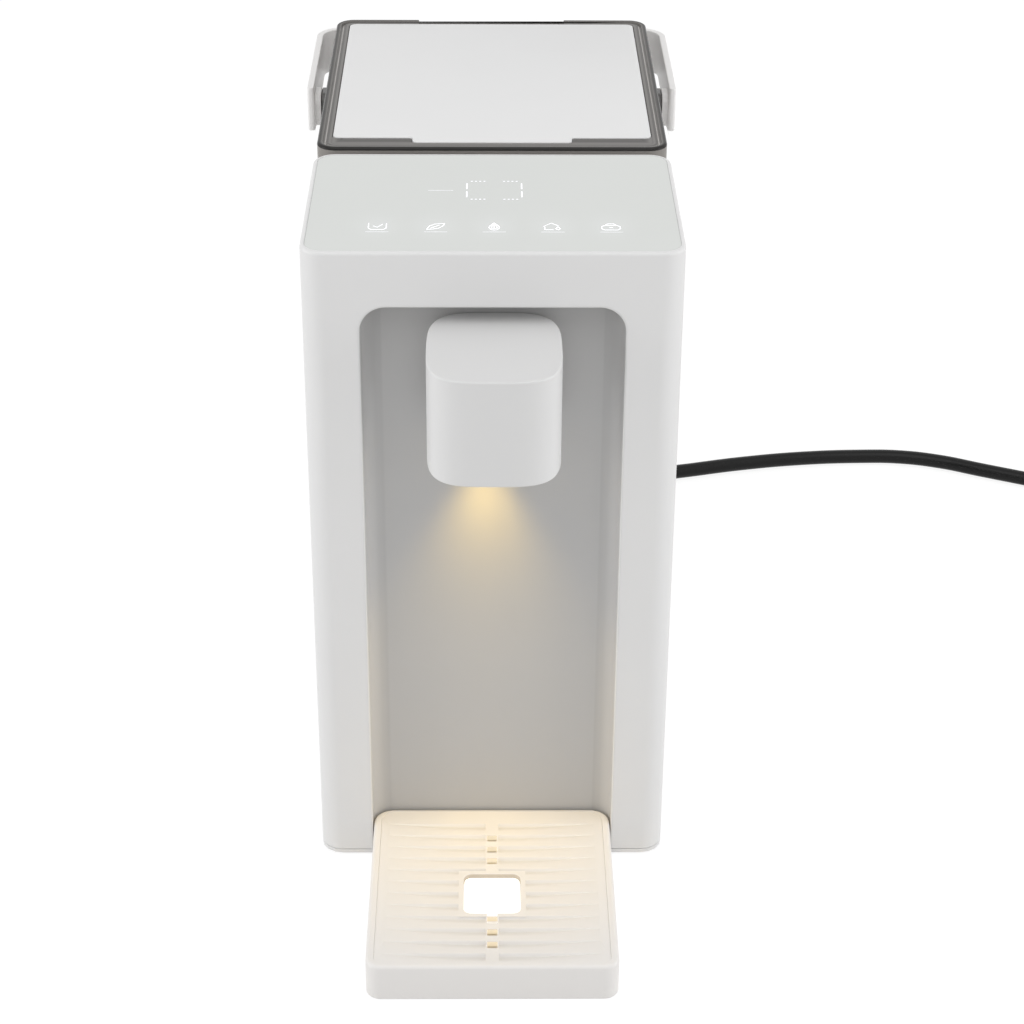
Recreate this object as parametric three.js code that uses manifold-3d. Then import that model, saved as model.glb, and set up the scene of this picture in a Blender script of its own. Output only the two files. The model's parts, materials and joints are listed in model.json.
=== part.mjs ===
// Instant hot water dispenser: a slim column with a cup recess and a squircle spout, a low dock
// behind it that carries a lift-off water tank, and a drip tray that slides into the recess.
// Millimetres, +X right, +Y to the back, +Z up. Sizes below are measured with the column's
// front face at Y = 0; the finished group is moved so that the origin is under its centre.

import * as THREE from 'three';
import { mergeVertices } from 'three/addons/utils/BufferGeometryUtils.js';
import Module from 'manifold-3d';

const wasm = await Module();
wasm.setup();

// Fits and fineness
const gap = 0.3;
const overrun = 2;
const cutPast = 1;
const mergeDistance = 0.0001;
const leastRadius = 0.4;
const cornerSteps = 4;
const roundSides = 20;
const smallSides = 10;
const filletShares = [0, 0.4, 0.75, 1];

// Column with the cup recess
const column = {
  width: 145,
  depth: 102.5,
  height: 278,
  wall: 2.5,
  cornerRadius: 9,
  edgeRadius: 1.4,
  rimWidth: 1.7,
  flangeWidth: 5,
  flangeThickness: 2.4,
  passageDrop: 10,
};
const panel = { thickness: 2.4, drop: 0.15, edgeRadius: 0.4 };
const recess = { sideBorder: 22.1, topBorder: 22.5, cornerRadius: 10, depth: 11, backRadius: 8 };
const liner = { wall: 2, flangeWidth: 6, flangeThickness: 2 };

// Base plate, feet and screws
const base = { footHeight: 1, edgeThickness: 1.7, lipThickness: 2.3 };
const foot = { radius: 8, pocketDepth: 1.5, sideInset: 14, frontInset: 22, backInset: 20 };
const screw = { headRadius: 3.2, headHeight: 1.5, shankRadius: 1.5, length: 15 };
const boss = { radius: 4.4, height: 22, columnPlace: 62, dockPlace: 76.5 };

// Dock under the tank
const dock = { length: 174, height: 78, wall: 2.5, plinthHeight: 6, deckThickness: 2.5 };

// Water tank, lid and valve
const tank = {
  sideInset: 1.2,
  frontGap: 6.1,
  backInset: 0.8,
  top: 269.7,
  wall: 2.2,
  cornerRadius: 7,
  skirtHeight: 7.7,
  floorThickness: 2.4,
};
const lid = {
  overhang: 1,
  height: 8.4,
  edgeRadius: 1.2,
  sideBorder: 6.2,
  frontBorder: 13,
  backBorder: 6,
  ridgeWidth: 2.4,
  ridgeHeight: 1.1,
  floorThickness: 2,
  skirtInset: 2.3,
  skirtThickness: 2,
  skirtDepth: 8,
  notchHalfWidth: 34,
};
const lidPlate = { thickness: 2.4, drop: 0.3, cornerRadius: 3, tongueHalfWidth: 33, tongueLength: 5.4 };
const lidSeal = { height: 3, drop: 2.5 };
const valve = {
  frontPlace: 43.4,
  holeRadius: 12,
  flangeRadius: 16,
  flangeThickness: 2.5,
  bodyDrop: 5.4,
  height: 20,
  boreRadius: 9.3,
  seatThickness: 3.4,
  seatRadius: 5,
  headRadius: 7.4,
  headThickness: 1.7,
  sealThickness: 1.7,
  stemRadius: 2.2,
  guideRadius: 1.5,
  guideRise: 2,
  capThickness: 1.8,
  capRadius: 11,
  portRadius: 1.9,
  portPlace: 6,
  windowWidth: 7,
  windowHeight: 6,
};
const spring = { radius: 4.6, wire: 0.45, curls: 6, stepsPerCurl: 8, sides: 5 };
const socket = {
  flangeRadius: 21,
  outerRadius: 16.5,
  flangeThickness: 2,
  sealHeight: 2,
  sealWidth: 1.6,
  boreDepth: 8.5,
  floorThickness: 2.4,
  probeRadius: 2,
  barbPlace: 7.4,
};

// Carrying handle of the tank
const handle = {
  sideGap: 7.7,
  rearGap: 6.3,
  rise: 2.3,
  thickness: 3,
  height: 20,
  armLength: 86.5,
  cornerRadius: 13,
  hubLength: 19,
  hubSetback: 3.5,
  hubThickness: 2.8,
  pivotRadius: 2.5,
  hubRadius: 4,
};

// Spout
const spout = {
  halfWidth: 25.5,
  halfDepth: 30.5,
  height: 43,
  topGap: 6.5,
  wall: 2,
  edgeRadius: 1.2,
  coverThickness: 2,
  neckHalfWidth: 11,
  neckHeight: 26,
};
const squirclePower = 3.6;
const squircleSides = 40;
const nozzle = { offset: -7.2, radius: 6, tipRadius: 4.6, boreRadius: 3, length: 13, drop: 3.5, collar: 8 };
const led = { offset: 13.8, lensRadius: 4.5, boardRadius: 8, boardThickness: 1.6 };

// Drip tray and grille
const tray = {
  sideClearance: 0.5,
  backClearance: 1,
  length: 103.6,
  height: 16.5,
  floor: 2,
  edgeRadius: 1.5,
  frontRadius: 6,
  backRadius: 8,
  sideRim: 3.2,
  endRim: 1.7,
  ledgeWidth: 2,
  islandHeight: 9.5,
};
const grille = {
  thickness: 2.4,
  drop: 0.2,
  holeHalfWidth: 11.65,
  holePlace: 44.7,
  holeDepth: 25.6,
  holeRadius: 3.5,
  notchHalfWidth: 2,
  notchDepth: 1.7,
  holeBorder: 2,
  slotHalfWidth: 2.05,
  grooveCount: 12,
  groovePlace: 12.9,
  groovePitch: 7.7,
  grooveWidth: 2.8,
  grooveDepth: 1.1,
  grooveHalfLength: 38,
  grooveSteps: 8,
  slotRearPlace: 17,
  slotFrontPlace: 95,
};

// Water path inside
const barb = { radius: 4, boreRadius: 2.6, length: 9 };
const hose = { wall: 1.8, sides: 8 };
const hoseSteps = { supply: 16, feed: 22, riser: 2, outlet: 14 };
const pump = {
  x: -34,
  rearPlace: 80.5,
  z: 27,
  headRadius: 19,
  headDepth: 16,
  wall: 2.5,
  motorRadius: 13.5,
  motorLength: 38,
  flangeThickness: 3,
  impellerRadius: 14,
  impellerThickness: 2,
  vaneHeight: 5,
  vaneThickness: 1.6,
  vaneInner: 5,
  hubRadius: 4,
  shaftRadius: 1.5,
  shaftDepth: 12,
  outletPlace: 13,
};
const vaneCount = 6;
const cradle = { halfWidth: 15, length: 30, wrapHeight: 9, wall: 2 };
const heater = {
  x: -24,
  y: 58,
  radius: 21,
  wall: 1.2,
  bottom: 62,
  topDrop: 31,
  capHeight: 9,
  capLip: 5,
  capWall: 2.4,
};
const bracket = {
  thickness: 1.6,
  ringHeight: 10,
  halfWidth: 13,
  endInset: 16,
};
const cutout = { radius: 7.5, depth: 6.5, topDrop: 38, terminalWidth: 6, terminalHeight: 9 };
const sensor = { radius: 2.4, length: 16, place: 9 };
const chamber = {
  halfWidth: 23,
  x: -10,
  front: 26,
  back: 72,
  height: 31,
  outletHeight: 15,
  wall: 2,
  radius: 6,
};
const outletPipe = { rise: 28, bendRadius: 11 };

// Electronics
const board = {
  width: 54,
  sideInset: 8.5,
  bottom: 76,
  height: 120,
  thickness: 1.6,
  standoff: 5,
  standoffRadius: 3.2,
  standoffInset: 5,
};
const relay = { width: 19, height: 15.5, depth: 16, x: 14, z: 100 };
const heatsink = { width: 24, height: 30, depth: 20, plate: 3, x: 36, z: 24, fins: 5, finThickness: 1.4 };
const transformer = { width: 24, height: 20, depth: 17, x: 37, z: 66 };
const displayBoard = { thickness: 1.6, overlap: 2 };
const display = { x: 0.7, y: 62.6, width: 24, depth: 21 };

// Mains cord
const cord = { diameter: 7.6, exitX: 50, exitZ: 16, sides: 10, steps: 24, tail: 47 };
const relief = {
  bootRadius: 6.4,
  tipRadius: 5.2,
  bootLength: 16,
  flangeRadius: 8.4,
  flangeThickness: 2,
  neck: 7,
};
const plug = {
  length: 37,
  halfWidth: 17.5,
  noseHalfWidth: 7,
  noseLength: 11,
  cornerRadius: 5,
  pinRadius: 2.4,
  pinLength: 19,
  pinSpacing: 19,
  pinSocket: 6,
};
const coil = { outerRadius: 50, pitch: 8.4, layerRise: 8.3 };
const coilTurnSteps = 24;
const coilSides = 6;
const coilSpiralTurns = 1.25;
const coilClimbTurns = 0.5;

// Route of the free cord on the floor, from the strain relief to the coil
const cordRoute = [
  [50, 295.1, 16],
  [50, 301, 15.7],
  [51.5, 311, 13],
  [58.5, 321.5, 8],
  [74, 330, 4.6],
  [102.4, 337.4, 3.9],
  [137.9, 346.7, 3.9],
  [171.8, 352.9, 3.9],
  [205.4, 355.4, 3.9],
  [228, 354.6, 3.9],
  [249.5, 349, 3.9],
  [269.5, 339.8, 3.9],
  [290, 330.6, 3.9],
  [318, 318, 3.9],
  [338, 309, 3.9],
];

// Levels and places that follow from the sizes above
const baseTop = base.footHeight + base.edgeThickness;
const lipTop = baseTop + base.lipThickness;
const housingBottom = baseTop + gap;
const halfWidth = column.width / 2;
const passageTop = dock.height - column.passageDrop;
const recessHalfWidth = halfWidth - recess.sideBorder;
const recessTop = column.height - recess.topBorder;
const dockFront = column.depth + gap;
const dockBack = column.depth + dock.length;
const dockBossY = dockBack - boss.dockPlace;
const tankHalfWidth = halfWidth - tank.sideInset;
const tankFront = column.depth + tank.frontGap;
const tankBack = dockBack - tank.backInset;
const valveY = tankFront + valve.frontPlace;
const plinthTop = dock.height + dock.plinthHeight;
const tankBottom = dock.height + gap;
const tankFloor = tankBottom + tank.skirtHeight;
const tankFloorTop = tankFloor + tank.floorThickness;
const lidBottom = tank.top + gap;
const lidTop = lidBottom + lid.height;
const lidHalfWidth = tankHalfWidth + lid.overhang;
const lidFront = tankFront - lid.overhang;
const lidBack = tankBack + lid.overhang;
const valveBottom = tankFloor - valve.bodyDrop;
const valveTop = valveBottom + valve.height;
const seatTop = valveBottom + valve.seatThickness;
const handleInner = tankHalfWidth + handle.sideGap;
const handleHalfWidth = handleInner + handle.thickness;
const handleBack = tankBack + handle.rearGap + handle.thickness;
const handleFront = handleBack - handle.armLength;
const handleTop = tank.top + handle.rise;
const handleBottom = handleTop - handle.height;
const pivotY = handleFront + handle.hubSetback + handle.hubLength / 2;
const pivotZ = handleBottom + handle.height / 2;
const linerBack = recess.depth + liner.wall;
const spoutY = recess.depth - gap - spout.halfDepth;
const spoutTop = recessTop - spout.topGap;
const spoutBottom = spoutTop - spout.height;
const nozzleY = spoutY + nozzle.offset;
const ledY = spoutY + led.offset;
const trayHalfWidth = recessHalfWidth - tray.sideClearance;
const trayBack = recess.depth - tray.backClearance;
const trayFront = trayBack - tray.length;
const holeBack = trayBack - grille.holePlace;
const holeFront = holeBack - grille.holeDepth;
const pumpY = dockBack - pump.rearPlace;
const outletZ = spoutBottom + outletPipe.rise;
const chamberBottom = outletZ - chamber.outletHeight;
const chamberTop = chamberBottom + chamber.height;
const heaterTop = chamberBottom - heater.topDrop;
const boardRight = halfWidth - board.sideInset;
const boardLeft = boardRight - board.width;
const boardTop = board.bottom + board.height;
const backWallInside = column.depth - column.wall;
const hoseBore = (barb.radius + gap) / Math.cos(Math.PI / hose.sides);
const hoseRadius = hoseBore + hose.wall;
const heaterCapTop = heaterTop + heater.capHeight;
const heaterCapBottom = heater.bottom - heater.capHeight;

// Basic shapes

function roundedRect(halfW, front, back, frontRadius, backRadius, inset = 0, centreX = 0) {
  const right = halfW - inset;
  const near = front + inset;
  const far = back - inset;
  const nearR = Math.max(frontRadius - inset, leastRadius);
  const farR = Math.max(backRadius - inset, leastRadius);
  const corners = [
    { x: right - nearR, y: near + nearR, r: nearR, start: -Math.PI / 2 },
    { x: right - farR, y: far - farR, r: farR, start: 0 },
    { x: farR - right, y: far - farR, r: farR, start: Math.PI / 2 },
    { x: nearR - right, y: near + nearR, r: nearR, start: Math.PI },
  ];
  const points = [];
  for (const c of corners) {
    for (let i = 0; i <= cornerSteps; i += 1) {
      const a = c.start + (i / cornerSteps) * (Math.PI / 2);
      points.push(new THREE.Vector2(centreX + c.x + c.r * Math.cos(a), c.y + c.r * Math.sin(a)));
    }
  }
  return points;
}

function squircle(halfW, halfD, centreY, inset = 0) {
  const points = [];
  for (let i = 0; i < squircleSides; i += 1) {
    const a = (i / squircleSides) * Math.PI * 2;
    const c = Math.cos(a);
    const s = Math.sin(a);
    const reach = (Math.abs(c) ** squirclePower + Math.abs(s) ** squirclePower) ** (-1 / squirclePower);
    const x = (halfW - inset) * c * reach;
    points.push(new THREE.Vector2(x, centreY + (halfD - inset) * s * reach));
  }
  return points;
}

function prism(outline, bottom, top) {
  const shape = new THREE.Shape(outline);
  const geometry = new THREE.ExtrudeGeometry(shape, { depth: top - bottom, bevelEnabled: false });
  geometry.translate(0, 0, bottom);
  return geometry;
}

function box(left, right, front, back, bottom, top) {
  const geometry = new THREE.BoxGeometry(right - left, back - front, top - bottom);
  geometry.translate((left + right) / 2, (front + back) / 2, (bottom + top) / 2);
  return geometry;
}

function cylinder(axis, radius, from, to, centre, sides = roundSides) {
  const geometry = new THREE.CylinderGeometry(radius, radius, to - from, sides);
  const middle = (from + to) / 2;
  if (axis === 'z') {
    geometry.rotateX(Math.PI / 2);
    geometry.translate(centre[0], centre[1], middle);
  } else if (axis === 'x') {
    geometry.rotateZ(Math.PI / 2);
    geometry.translate(middle, centre[0], centre[1]);
  } else {
    geometry.translate(centre[0], middle, centre[1]);
  }
  return geometry;
}

// Profile points are [radius, height]; the axis of the turned piece is Z through (x, y)
function turned(profile, x, y, sides = roundSides) {
  const points = profile.map(([r, z]) => new THREE.Vector2(r, z));
  const geometry = new THREE.LatheGeometry(points, sides);
  geometry.rotateX(Math.PI / 2);
  geometry.translate(x, y, 0);
  return geometry;
}

// A stack of outlines with equal point counts, closed at both ends
function loft(rings) {
  const count = rings[0].outline.length;
  const positions = [];
  for (const ring of rings) {
    for (const p of ring.outline) {
      positions.push(p.x, p.y, ring.z);
    }
  }
  const index = [];
  for (let k = 0; k + 1 < rings.length; k += 1) {
    for (let i = 0; i < count; i += 1) {
      const a = k * count + i;
      const b = k * count + ((i + 1) % count);
      index.push(a, b, b + count, a, b + count, a + count);
    }
  }
  const last = (rings.length - 1) * count;
  for (const [a, b, c] of THREE.ShapeUtils.triangulateShape(rings[0].outline, [])) {
    index.push(a, c, b, last + a, last + b, last + c);
  }
  const geometry = new THREE.BufferGeometry();
  geometry.setAttribute('position', new THREE.Float32BufferAttribute(positions, 3));
  geometry.setIndex(index);
  return geometry;
}

// A prism whose top edge is rounded; outlineAt(inset) gives its outline drawn in by inset
function softPrism(outlineAt, bottom, top, edge) {
  const rings = [{ outline: outlineAt(0), z: bottom }];
  for (const share of filletShares) {
    const inset = edge * (1 - Math.sqrt(Math.max(1 - share * share, 0)));
    rings.push({ outline: outlineAt(inset), z: top - edge + edge * share });
  }
  return loft(rings);
}

// Radius of a cut with this many flat sides that stays clear of a round piece inside it
function clearRadius(radius, sides) {
  return (radius + gap) / Math.cos(Math.PI / sides);
}

// Solids that can be joined and cut

function asSolid(geometry) {
  const bare = geometry.clone();
  bare.deleteAttribute('normal');
  bare.deleteAttribute('uv');
  const merged = mergeVertices(bare, mergeDistance);
  const places = merged.attributes.position.array;
  const triangles = [];
  let volume = 0;
  for (let i = 0; i < merged.index.count; i += 3) {
    const [a, b, c] = [merged.index.getX(i), merged.index.getX(i + 1), merged.index.getX(i + 2)];
    if (a !== b && b !== c && a !== c) {
      triangles.push(a, b, c);
      const p = new THREE.Vector3().fromArray(places, a * 3);
      const q = new THREE.Vector3().fromArray(places, b * 3);
      const r = new THREE.Vector3().fromArray(places, c * 3);
      volume += p.dot(q.cross(r));
    }
  }
  const triVerts = Uint32Array.from(volume < 0 ? triangles.reverse() : triangles);
  return new wasm.Manifold(new wasm.Mesh({ numProp: 3, vertProperties: places, triVerts }));
}

function join(first, ...others) {
  return others.reduce((whole, piece) => whole.add(piece), first);
}

function cut(first, ...others) {
  return others.reduce((whole, piece) => whole.subtract(piece), first);
}

function asGeometry(solid) {
  const mesh = solid.getMesh();
  const geometry = new THREE.BufferGeometry();
  geometry.setAttribute('position', new THREE.Float32BufferAttribute(mesh.vertProperties, 3));
  geometry.setIndex(Array.from(mesh.triVerts));
  geometry.computeVertexNormals();
  return geometry;
}

const S = {
  prism: (...sizes) => asSolid(prism(...sizes)),
  box: (...sizes) => asSolid(box(...sizes)),
  cylinder: (...sizes) => asSolid(cylinder(...sizes)),
  turned: (...sizes) => asSolid(turned(...sizes)),
  soft: (...sizes) => asSolid(softPrism(...sizes)),
};

// Materials

const paint = {
  shellWhite: { color: 0xd9d9da, roughness: 0.42 },
  topWhite: { color: 0xe2e4e2, roughness: 0.25 },
  linerGrey: { color: 0xbcbbb6, roughness: 0.4 },
  trayWhite: { color: 0xe6e3dd, roughness: 0.45 },
  smoky: { color: 0x6e6c66, roughness: 0.12, opacity: 0.55 },
  clear: { color: 0xb9bab6, roughness: 0.08, opacity: 0.35 },
  smokyBoss: { color: 0x9a9892, roughness: 0.3 },
  lidWhite: { color: 0xe9e9e9, roughness: 0.5 },
  rubberBlack: { color: 0x2a2a2b, roughness: 0.6 },
  silicone: { color: 0xd8d5cc, roughness: 0.6 },
  plasticDark: { color: 0x4a4b4d, roughness: 0.5 },
  plasticNatural: { color: 0xd2cfc4, roughness: 0.5 },
  steel: { color: 0xb4b6b8, roughness: 0.3, metalness: 0.9 },
  brass: { color: 0xc9a95a, roughness: 0.3, metalness: 0.9 },
  aluminium: { color: 0xc4c6c8, roughness: 0.4, metalness: 0.8 },
  boardGreen: { color: 0x2f6b45, roughness: 0.5 },
  relayBlue: { color: 0x2d5f8f, roughness: 0.5 },
  lens: { color: 0xf5e6c4, roughness: 0.15, opacity: 0.6 },
};

const machine = new THREE.Group();

function place(name, solidOrGeometry, look) {
  const geometry = solidOrGeometry.isBufferGeometry ? solidOrGeometry : asGeometry(solidOrGeometry);
  const material = new THREE.MeshStandardMaterial({ metalness: 0, ...look });
  material.transparent = look.opacity !== undefined;
  const mesh = new THREE.Mesh(geometry, material);
  mesh.name = name;
  machine.add(mesh);
  return mesh;
}

// Column housing: one shell with the cup window in front and the control plate let into its top

function columnOutline(inset) {
  return roundedRect(halfWidth, 0, column.depth, column.cornerRadius, column.cornerRadius, inset);
}

function recessOutline(grow) {
  const radius = recess.backRadius + grow;
  return roundedRect(recessHalfWidth + grow, -column.depth, recess.depth + grow, leastRadius, radius);
}

// The window as seen from the front, drawn in X and Z and pushed along Y
function windowBlock(grow, front, back) {
  const outline = roundedRect(
    recessHalfWidth + grow,
    -column.height,
    recessTop + grow,
    leastRadius,
    recess.cornerRadius + grow,
  );
  const geometry = prism(outline, -back, -front);
  geometry.rotateX(Math.PI / 2);
  return asSolid(geometry);
}

function screwBosses(placeY, roof) {
  const list = [];
  for (const side of [-1, 1]) {
    const x = side * (halfWidth - column.wall - boss.radius + overrun / 2);
    list.push(S.cylinder('z', boss.radius, lipTop + gap, roof, [x, placeY], smallSides));
  }
  return list;
}

function screwHoles(placeY) {
  const reach = base.footHeight + gap + screw.headHeight + screw.length;
  const radius = clearRadius(screw.shankRadius, smallSides);
  return [-1, 1].map((side) => {
    const x = side * (halfWidth - column.wall - boss.radius + overrun / 2);
    return S.cylinder('z', radius, 0, reach + overrun, [x, placeY], smallSides);
  });
}

function columnHousing() {
  const square = roundedRect(halfWidth, 0, column.depth, column.cornerRadius, leastRadius);
  const lower = S.prism(square, housingBottom, dock.height);
  const tower = S.soft(columnOutline, housingBottom, column.height, column.edgeRadius);
  const pocketBottom = column.height - panel.drop - panel.thickness - gap;
  const ceiling = pocketBottom - column.flangeThickness;
  const hollow = S.prism(columnOutline(column.wall), 0, ceiling);
  const pocket = S.prism(columnOutline(column.rimWidth), pocketBottom, column.height + overrun);
  const opening = S.prism(columnOutline(column.flangeWidth), ceiling - overrun, pocketBottom + overrun);
  const cupWindow = windowBlock(0, -overrun, column.wall + overrun);
  const passage = S.prism(roundedRect(
    halfWidth - column.wall,
    column.wall,
    column.depth + overrun,
    column.cornerRadius - column.wall,
    leastRadius,
  ), 0, passageTop);
  const shell = cut(join(tower, lower), hollow, pocket, opening, cupWindow, passage);
  const standoffs = [];
  for (const x of [boardLeft + board.standoffInset, boardRight - board.standoffInset]) {
    for (const z of [board.bottom + board.standoffInset, boardTop - board.standoffInset]) {
      const from = backWallInside - board.standoff;
      standoffs.push(S.cylinder('y', board.standoffRadius, from, backWallInside + gap, [x, z], smallSides));
    }
  }
  const bosses = screwBosses(boss.columnPlace, boss.height);
  return cut(join(shell, ...standoffs, ...bosses), ...screwHoles(boss.columnPlace));
}

place('column_housing', columnHousing(), paint.shellWhite);

function controlPanel() {
  const top = column.height - panel.drop;
  const outlineAt = (inset) => columnOutline(column.rimWidth + gap / 2 + inset);
  return S.soft(outlineAt, top - panel.thickness, top, panel.edgeRadius);
}

place('control_panel', controlPanel(), paint.topWhite);

// Liner of the cup recess: a U-shaped wall under an arched roof, with a flange behind the window

function recessLiner() {
  const front = column.wall + gap;
  const roof = recessTop + liner.wall;
  const outer = S.prism(recessOutline(liner.wall), housingBottom, roof + liner.flangeWidth);
  const within = windowBlock(liner.wall, front, linerBack);
  const body = outer.intersect(within).subtract(S.box(
    -column.width,
    column.width,
    -column.depth,
    linerBack + overrun,
    0,
    housingBottom,
  ));
  const flange = windowBlock(liner.flangeWidth, front, front + liner.flangeThickness)
    .intersect(S.box(-halfWidth, halfWidth, 0, column.depth, housingBottom, column.height));
  const hollow = S.prism(recessOutline(0), -overrun, column.height)
    .intersect(windowBlock(0, -column.depth, recess.depth));
  const pipeHole = S.cylinder(
    'y',
    clearRadius(hoseRadius, smallSides),
    recess.depth - overrun,
    linerBack + overrun,
    [0, outletZ],
    smallSides,
  );
  return cut(join(body, flange), hollow, pipeHole);
}

place('recess_liner', recessLiner(), paint.linerGrey);

// Base plate with its locating lip, feet and screws

function footPlaces() {
  const x = halfWidth - foot.sideInset;
  const near = foot.frontInset;
  const far = dockBack - foot.backInset;
  return { front_left: [-x, near], front_right: [x, near], rear_left: [-x, far], rear_right: [x, far] };
}

function basePlate() {
  const edge = roundedRect(halfWidth, 0, dockBack, column.cornerRadius, column.cornerRadius);
  const lipInset = column.wall + gap;
  const lip = roundedRect(halfWidth, 0, dockBack, column.cornerRadius, column.cornerRadius, lipInset);
  const plate = S.prism(edge, base.footHeight, baseTop);
  const raised = S.prism(lip, base.footHeight, lipTop);
  const bay = S.prism(recessOutline(0), -overrun, lipTop + overrun);
  const linerBay = S.prism(recessOutline(liner.wall + gap), baseTop, lipTop + overrun);
  const flangeBay = S.box(
    -recessHalfWidth - liner.flangeWidth - gap,
    recessHalfWidth + liner.flangeWidth + gap,
    -overrun,
    column.wall + liner.flangeThickness + 2 * gap,
    baseTop,
    lipTop + overrun,
  );
  const pockets = Object.values(footPlaces()).map((centre) => S.cylinder(
    'z',
    clearRadius(foot.radius, roundSides),
    0,
    base.footHeight + foot.pocketDepth,
    centre,
  ));
  const holes = [...screwHoles(boss.columnPlace), ...screwHoles(dockBossY)];
  const sinks = [];
  for (const y of [boss.columnPlace, dockBossY]) {
    for (const side of [-1, 1]) {
      const x = side * (halfWidth - column.wall - boss.radius + overrun / 2);
      const radius = clearRadius(screw.headRadius, smallSides);
      const top = base.footHeight + 2 * gap + screw.headHeight;
      sinks.push(S.cylinder('z', radius, 0, top, [x, y], smallSides));
    }
  }
  return cut(join(plate, raised), bay, linerBay, flangeBay, ...pockets, ...holes, ...sinks);
}

place('base_plate', basePlate(), paint.shellWhite);

for (const [corner, centre] of Object.entries(footPlaces())) {
  const top = base.footHeight + foot.pocketDepth - gap;
  place(`foot_${corner}`, cylinder('z', foot.radius, 0, top, centre), paint.rubberBlack);
}

function baseScrew(x, y) {
  const bottom = base.footHeight + gap;
  const shoulder = bottom + screw.headHeight;
  const profile = [
    [0, bottom],
    [screw.headRadius, bottom],
    [screw.headRadius, shoulder],
    [screw.shankRadius, shoulder],
    [screw.shankRadius, shoulder + screw.length],
    [0, shoulder + screw.length],
  ];
  return S.turned(profile, x, y, smallSides);
}

for (const [row, y] of [['front', boss.columnPlace], ['rear', dockBossY]]) {
  for (const [name, side] of [['left', -1], ['right', 1]]) {
    const x = side * (halfWidth - column.wall - boss.radius + overrun / 2);
    place(`base_screw_${row}_${name}`, baseScrew(x, y), paint.steel);
  }
}

// Dock housing with a raised plinth that the tank's skirt drops over

function tankOutline(inset) {
  return roundedRect(tankHalfWidth, tankFront, tankBack, tank.cornerRadius, tank.cornerRadius, inset);
}

function dockHousing() {
  const outline = (inset) => roundedRect(
    halfWidth,
    dockFront,
    dockBack,
    leastRadius,
    column.cornerRadius,
    inset,
  );
  const block = S.prism(outline(0), housingBottom, dock.height);
  const plinth = S.prism(tankOutline(tank.wall + 2 * gap), dock.height - overrun, plinthTop);
  const inside = roundedRect(
    halfWidth - dock.wall,
    dockFront - column.depth,
    dockBack - dock.wall,
    leastRadius,
    column.cornerRadius - dock.wall,
  );
  const hollow = S.prism(inside, 0, dock.height - dock.deckThickness);
  const underPlinth = S.prism(
    tankOutline(tank.wall + dock.wall),
    dock.height - dock.deckThickness - overrun,
    plinthTop - dock.deckThickness,
  );
  const socketHole = S.cylinder(
    'z',
    clearRadius(socket.outerRadius, roundSides),
    dock.height - dock.deckThickness - overrun,
    plinthTop + overrun,
    [0, valveY],
  );
  const flangeSeat = S.cylinder(
    'z',
    clearRadius(socket.flangeRadius, roundSides),
    plinthTop - socket.flangeThickness / 2,
    plinthTop + overrun,
    [0, valveY],
  );
  const cordHole = S.cylinder(
    'y',
    clearRadius(relief.neck, smallSides),
    dockBack - dock.wall - overrun,
    dockBack + overrun,
    [cord.exitX, cord.exitZ],
    smallSides,
  );
  const shell = cut(join(block, plinth), hollow, underPlinth, socketHole, flangeSeat, cordHole);
  const bosses = screwBosses(dockBossY, boss.height);
  return cut(join(shell, ...bosses), ...screwHoles(dockBossY));
}

place('dock_housing', dockHousing(), paint.shellWhite);

// Socket in the plinth: takes the tank valve's nose, with a seal, a probe and an outlet barb

function dockSocket() {
  const top = plinthTop - socket.flangeThickness / 2 + gap + socket.flangeThickness;
  const under = top - socket.flangeThickness;
  const nose = clearRadius(valve.holeRadius - gap, roundSides);
  const sealRoom = nose + socket.sealWidth;
  const floorTop = top - socket.boreDepth;
  const bottom = floorTop - socket.floorThickness;
  const probeTop = valveBottom + gap - leastRadius;
  const sealBottom = top - socket.sealHeight;
  const profile = [
    [0, bottom],
    [socket.outerRadius, bottom],
    [socket.outerRadius, under],
    [socket.flangeRadius, under],
    [socket.flangeRadius, top],
    [sealRoom, top],
    [sealRoom, sealBottom],
    [nose, sealBottom],
    [nose, floorTop],
    [socket.probeRadius, floorTop],
    [socket.probeRadius, probeTop],
    [0, probeTop],
  ];
  const body = S.turned(profile, 0, valveY);
  const centre = [socket.barbPlace, valveY];
  const stub = S.cylinder('z', barb.radius, bottom - barb.length, bottom + gap, centre, smallSides);
  const bore = S.cylinder(
    'z',
    barb.boreRadius,
    bottom - barb.length - cutPast,
    floorTop + cutPast,
    centre,
    smallSides,
  );
  return { solid: cut(join(body, stub), bore), top, bottom, nose, sealRoom, sealBottom };
}

const socketMade = dockSocket();
place('dock_socket', socketMade.solid, paint.plasticDark);

function ring(inner, outer, bottom, top, x, y, sides = roundSides) {
  const profile = [[inner, bottom], [outer, bottom], [outer, top], [inner, top], [inner, bottom]];
  return S.turned(profile, x, y, sides);
}

place('dock_seal', ring(
  socketMade.nose,
  socketMade.sealRoom - gap,
  socketMade.sealBottom + gap,
  socketMade.top,
  0,
  valveY,
), paint.silicone);

// Water tank with its valve hole

function tankBody() {
  const outer = S.prism(tankOutline(0), tankBottom, tank.top);
  const inner = S.prism(tankOutline(tank.wall), tankFloorTop, tank.top + overrun);
  const under = S.prism(tankOutline(tank.wall), tankBottom - overrun, tankFloor);
  const valveHole = S.cylinder(
    'z',
    valve.holeRadius,
    tankFloor - cutPast,
    tankFloorTop + cutPast,
    [0, valveY],
  );
  return cut(outer, inner, under, valveHole);
}

place('water_tank', tankBody(), paint.clear);

// Tank lid: smoky frame with a ridge round its edge and an inset white plate with a front tongue

function lidOutline(inset) {
  const radius = tank.cornerRadius + lid.overhang;
  return roundedRect(lidHalfWidth, lidFront, lidBack, radius, radius, inset);
}

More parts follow.
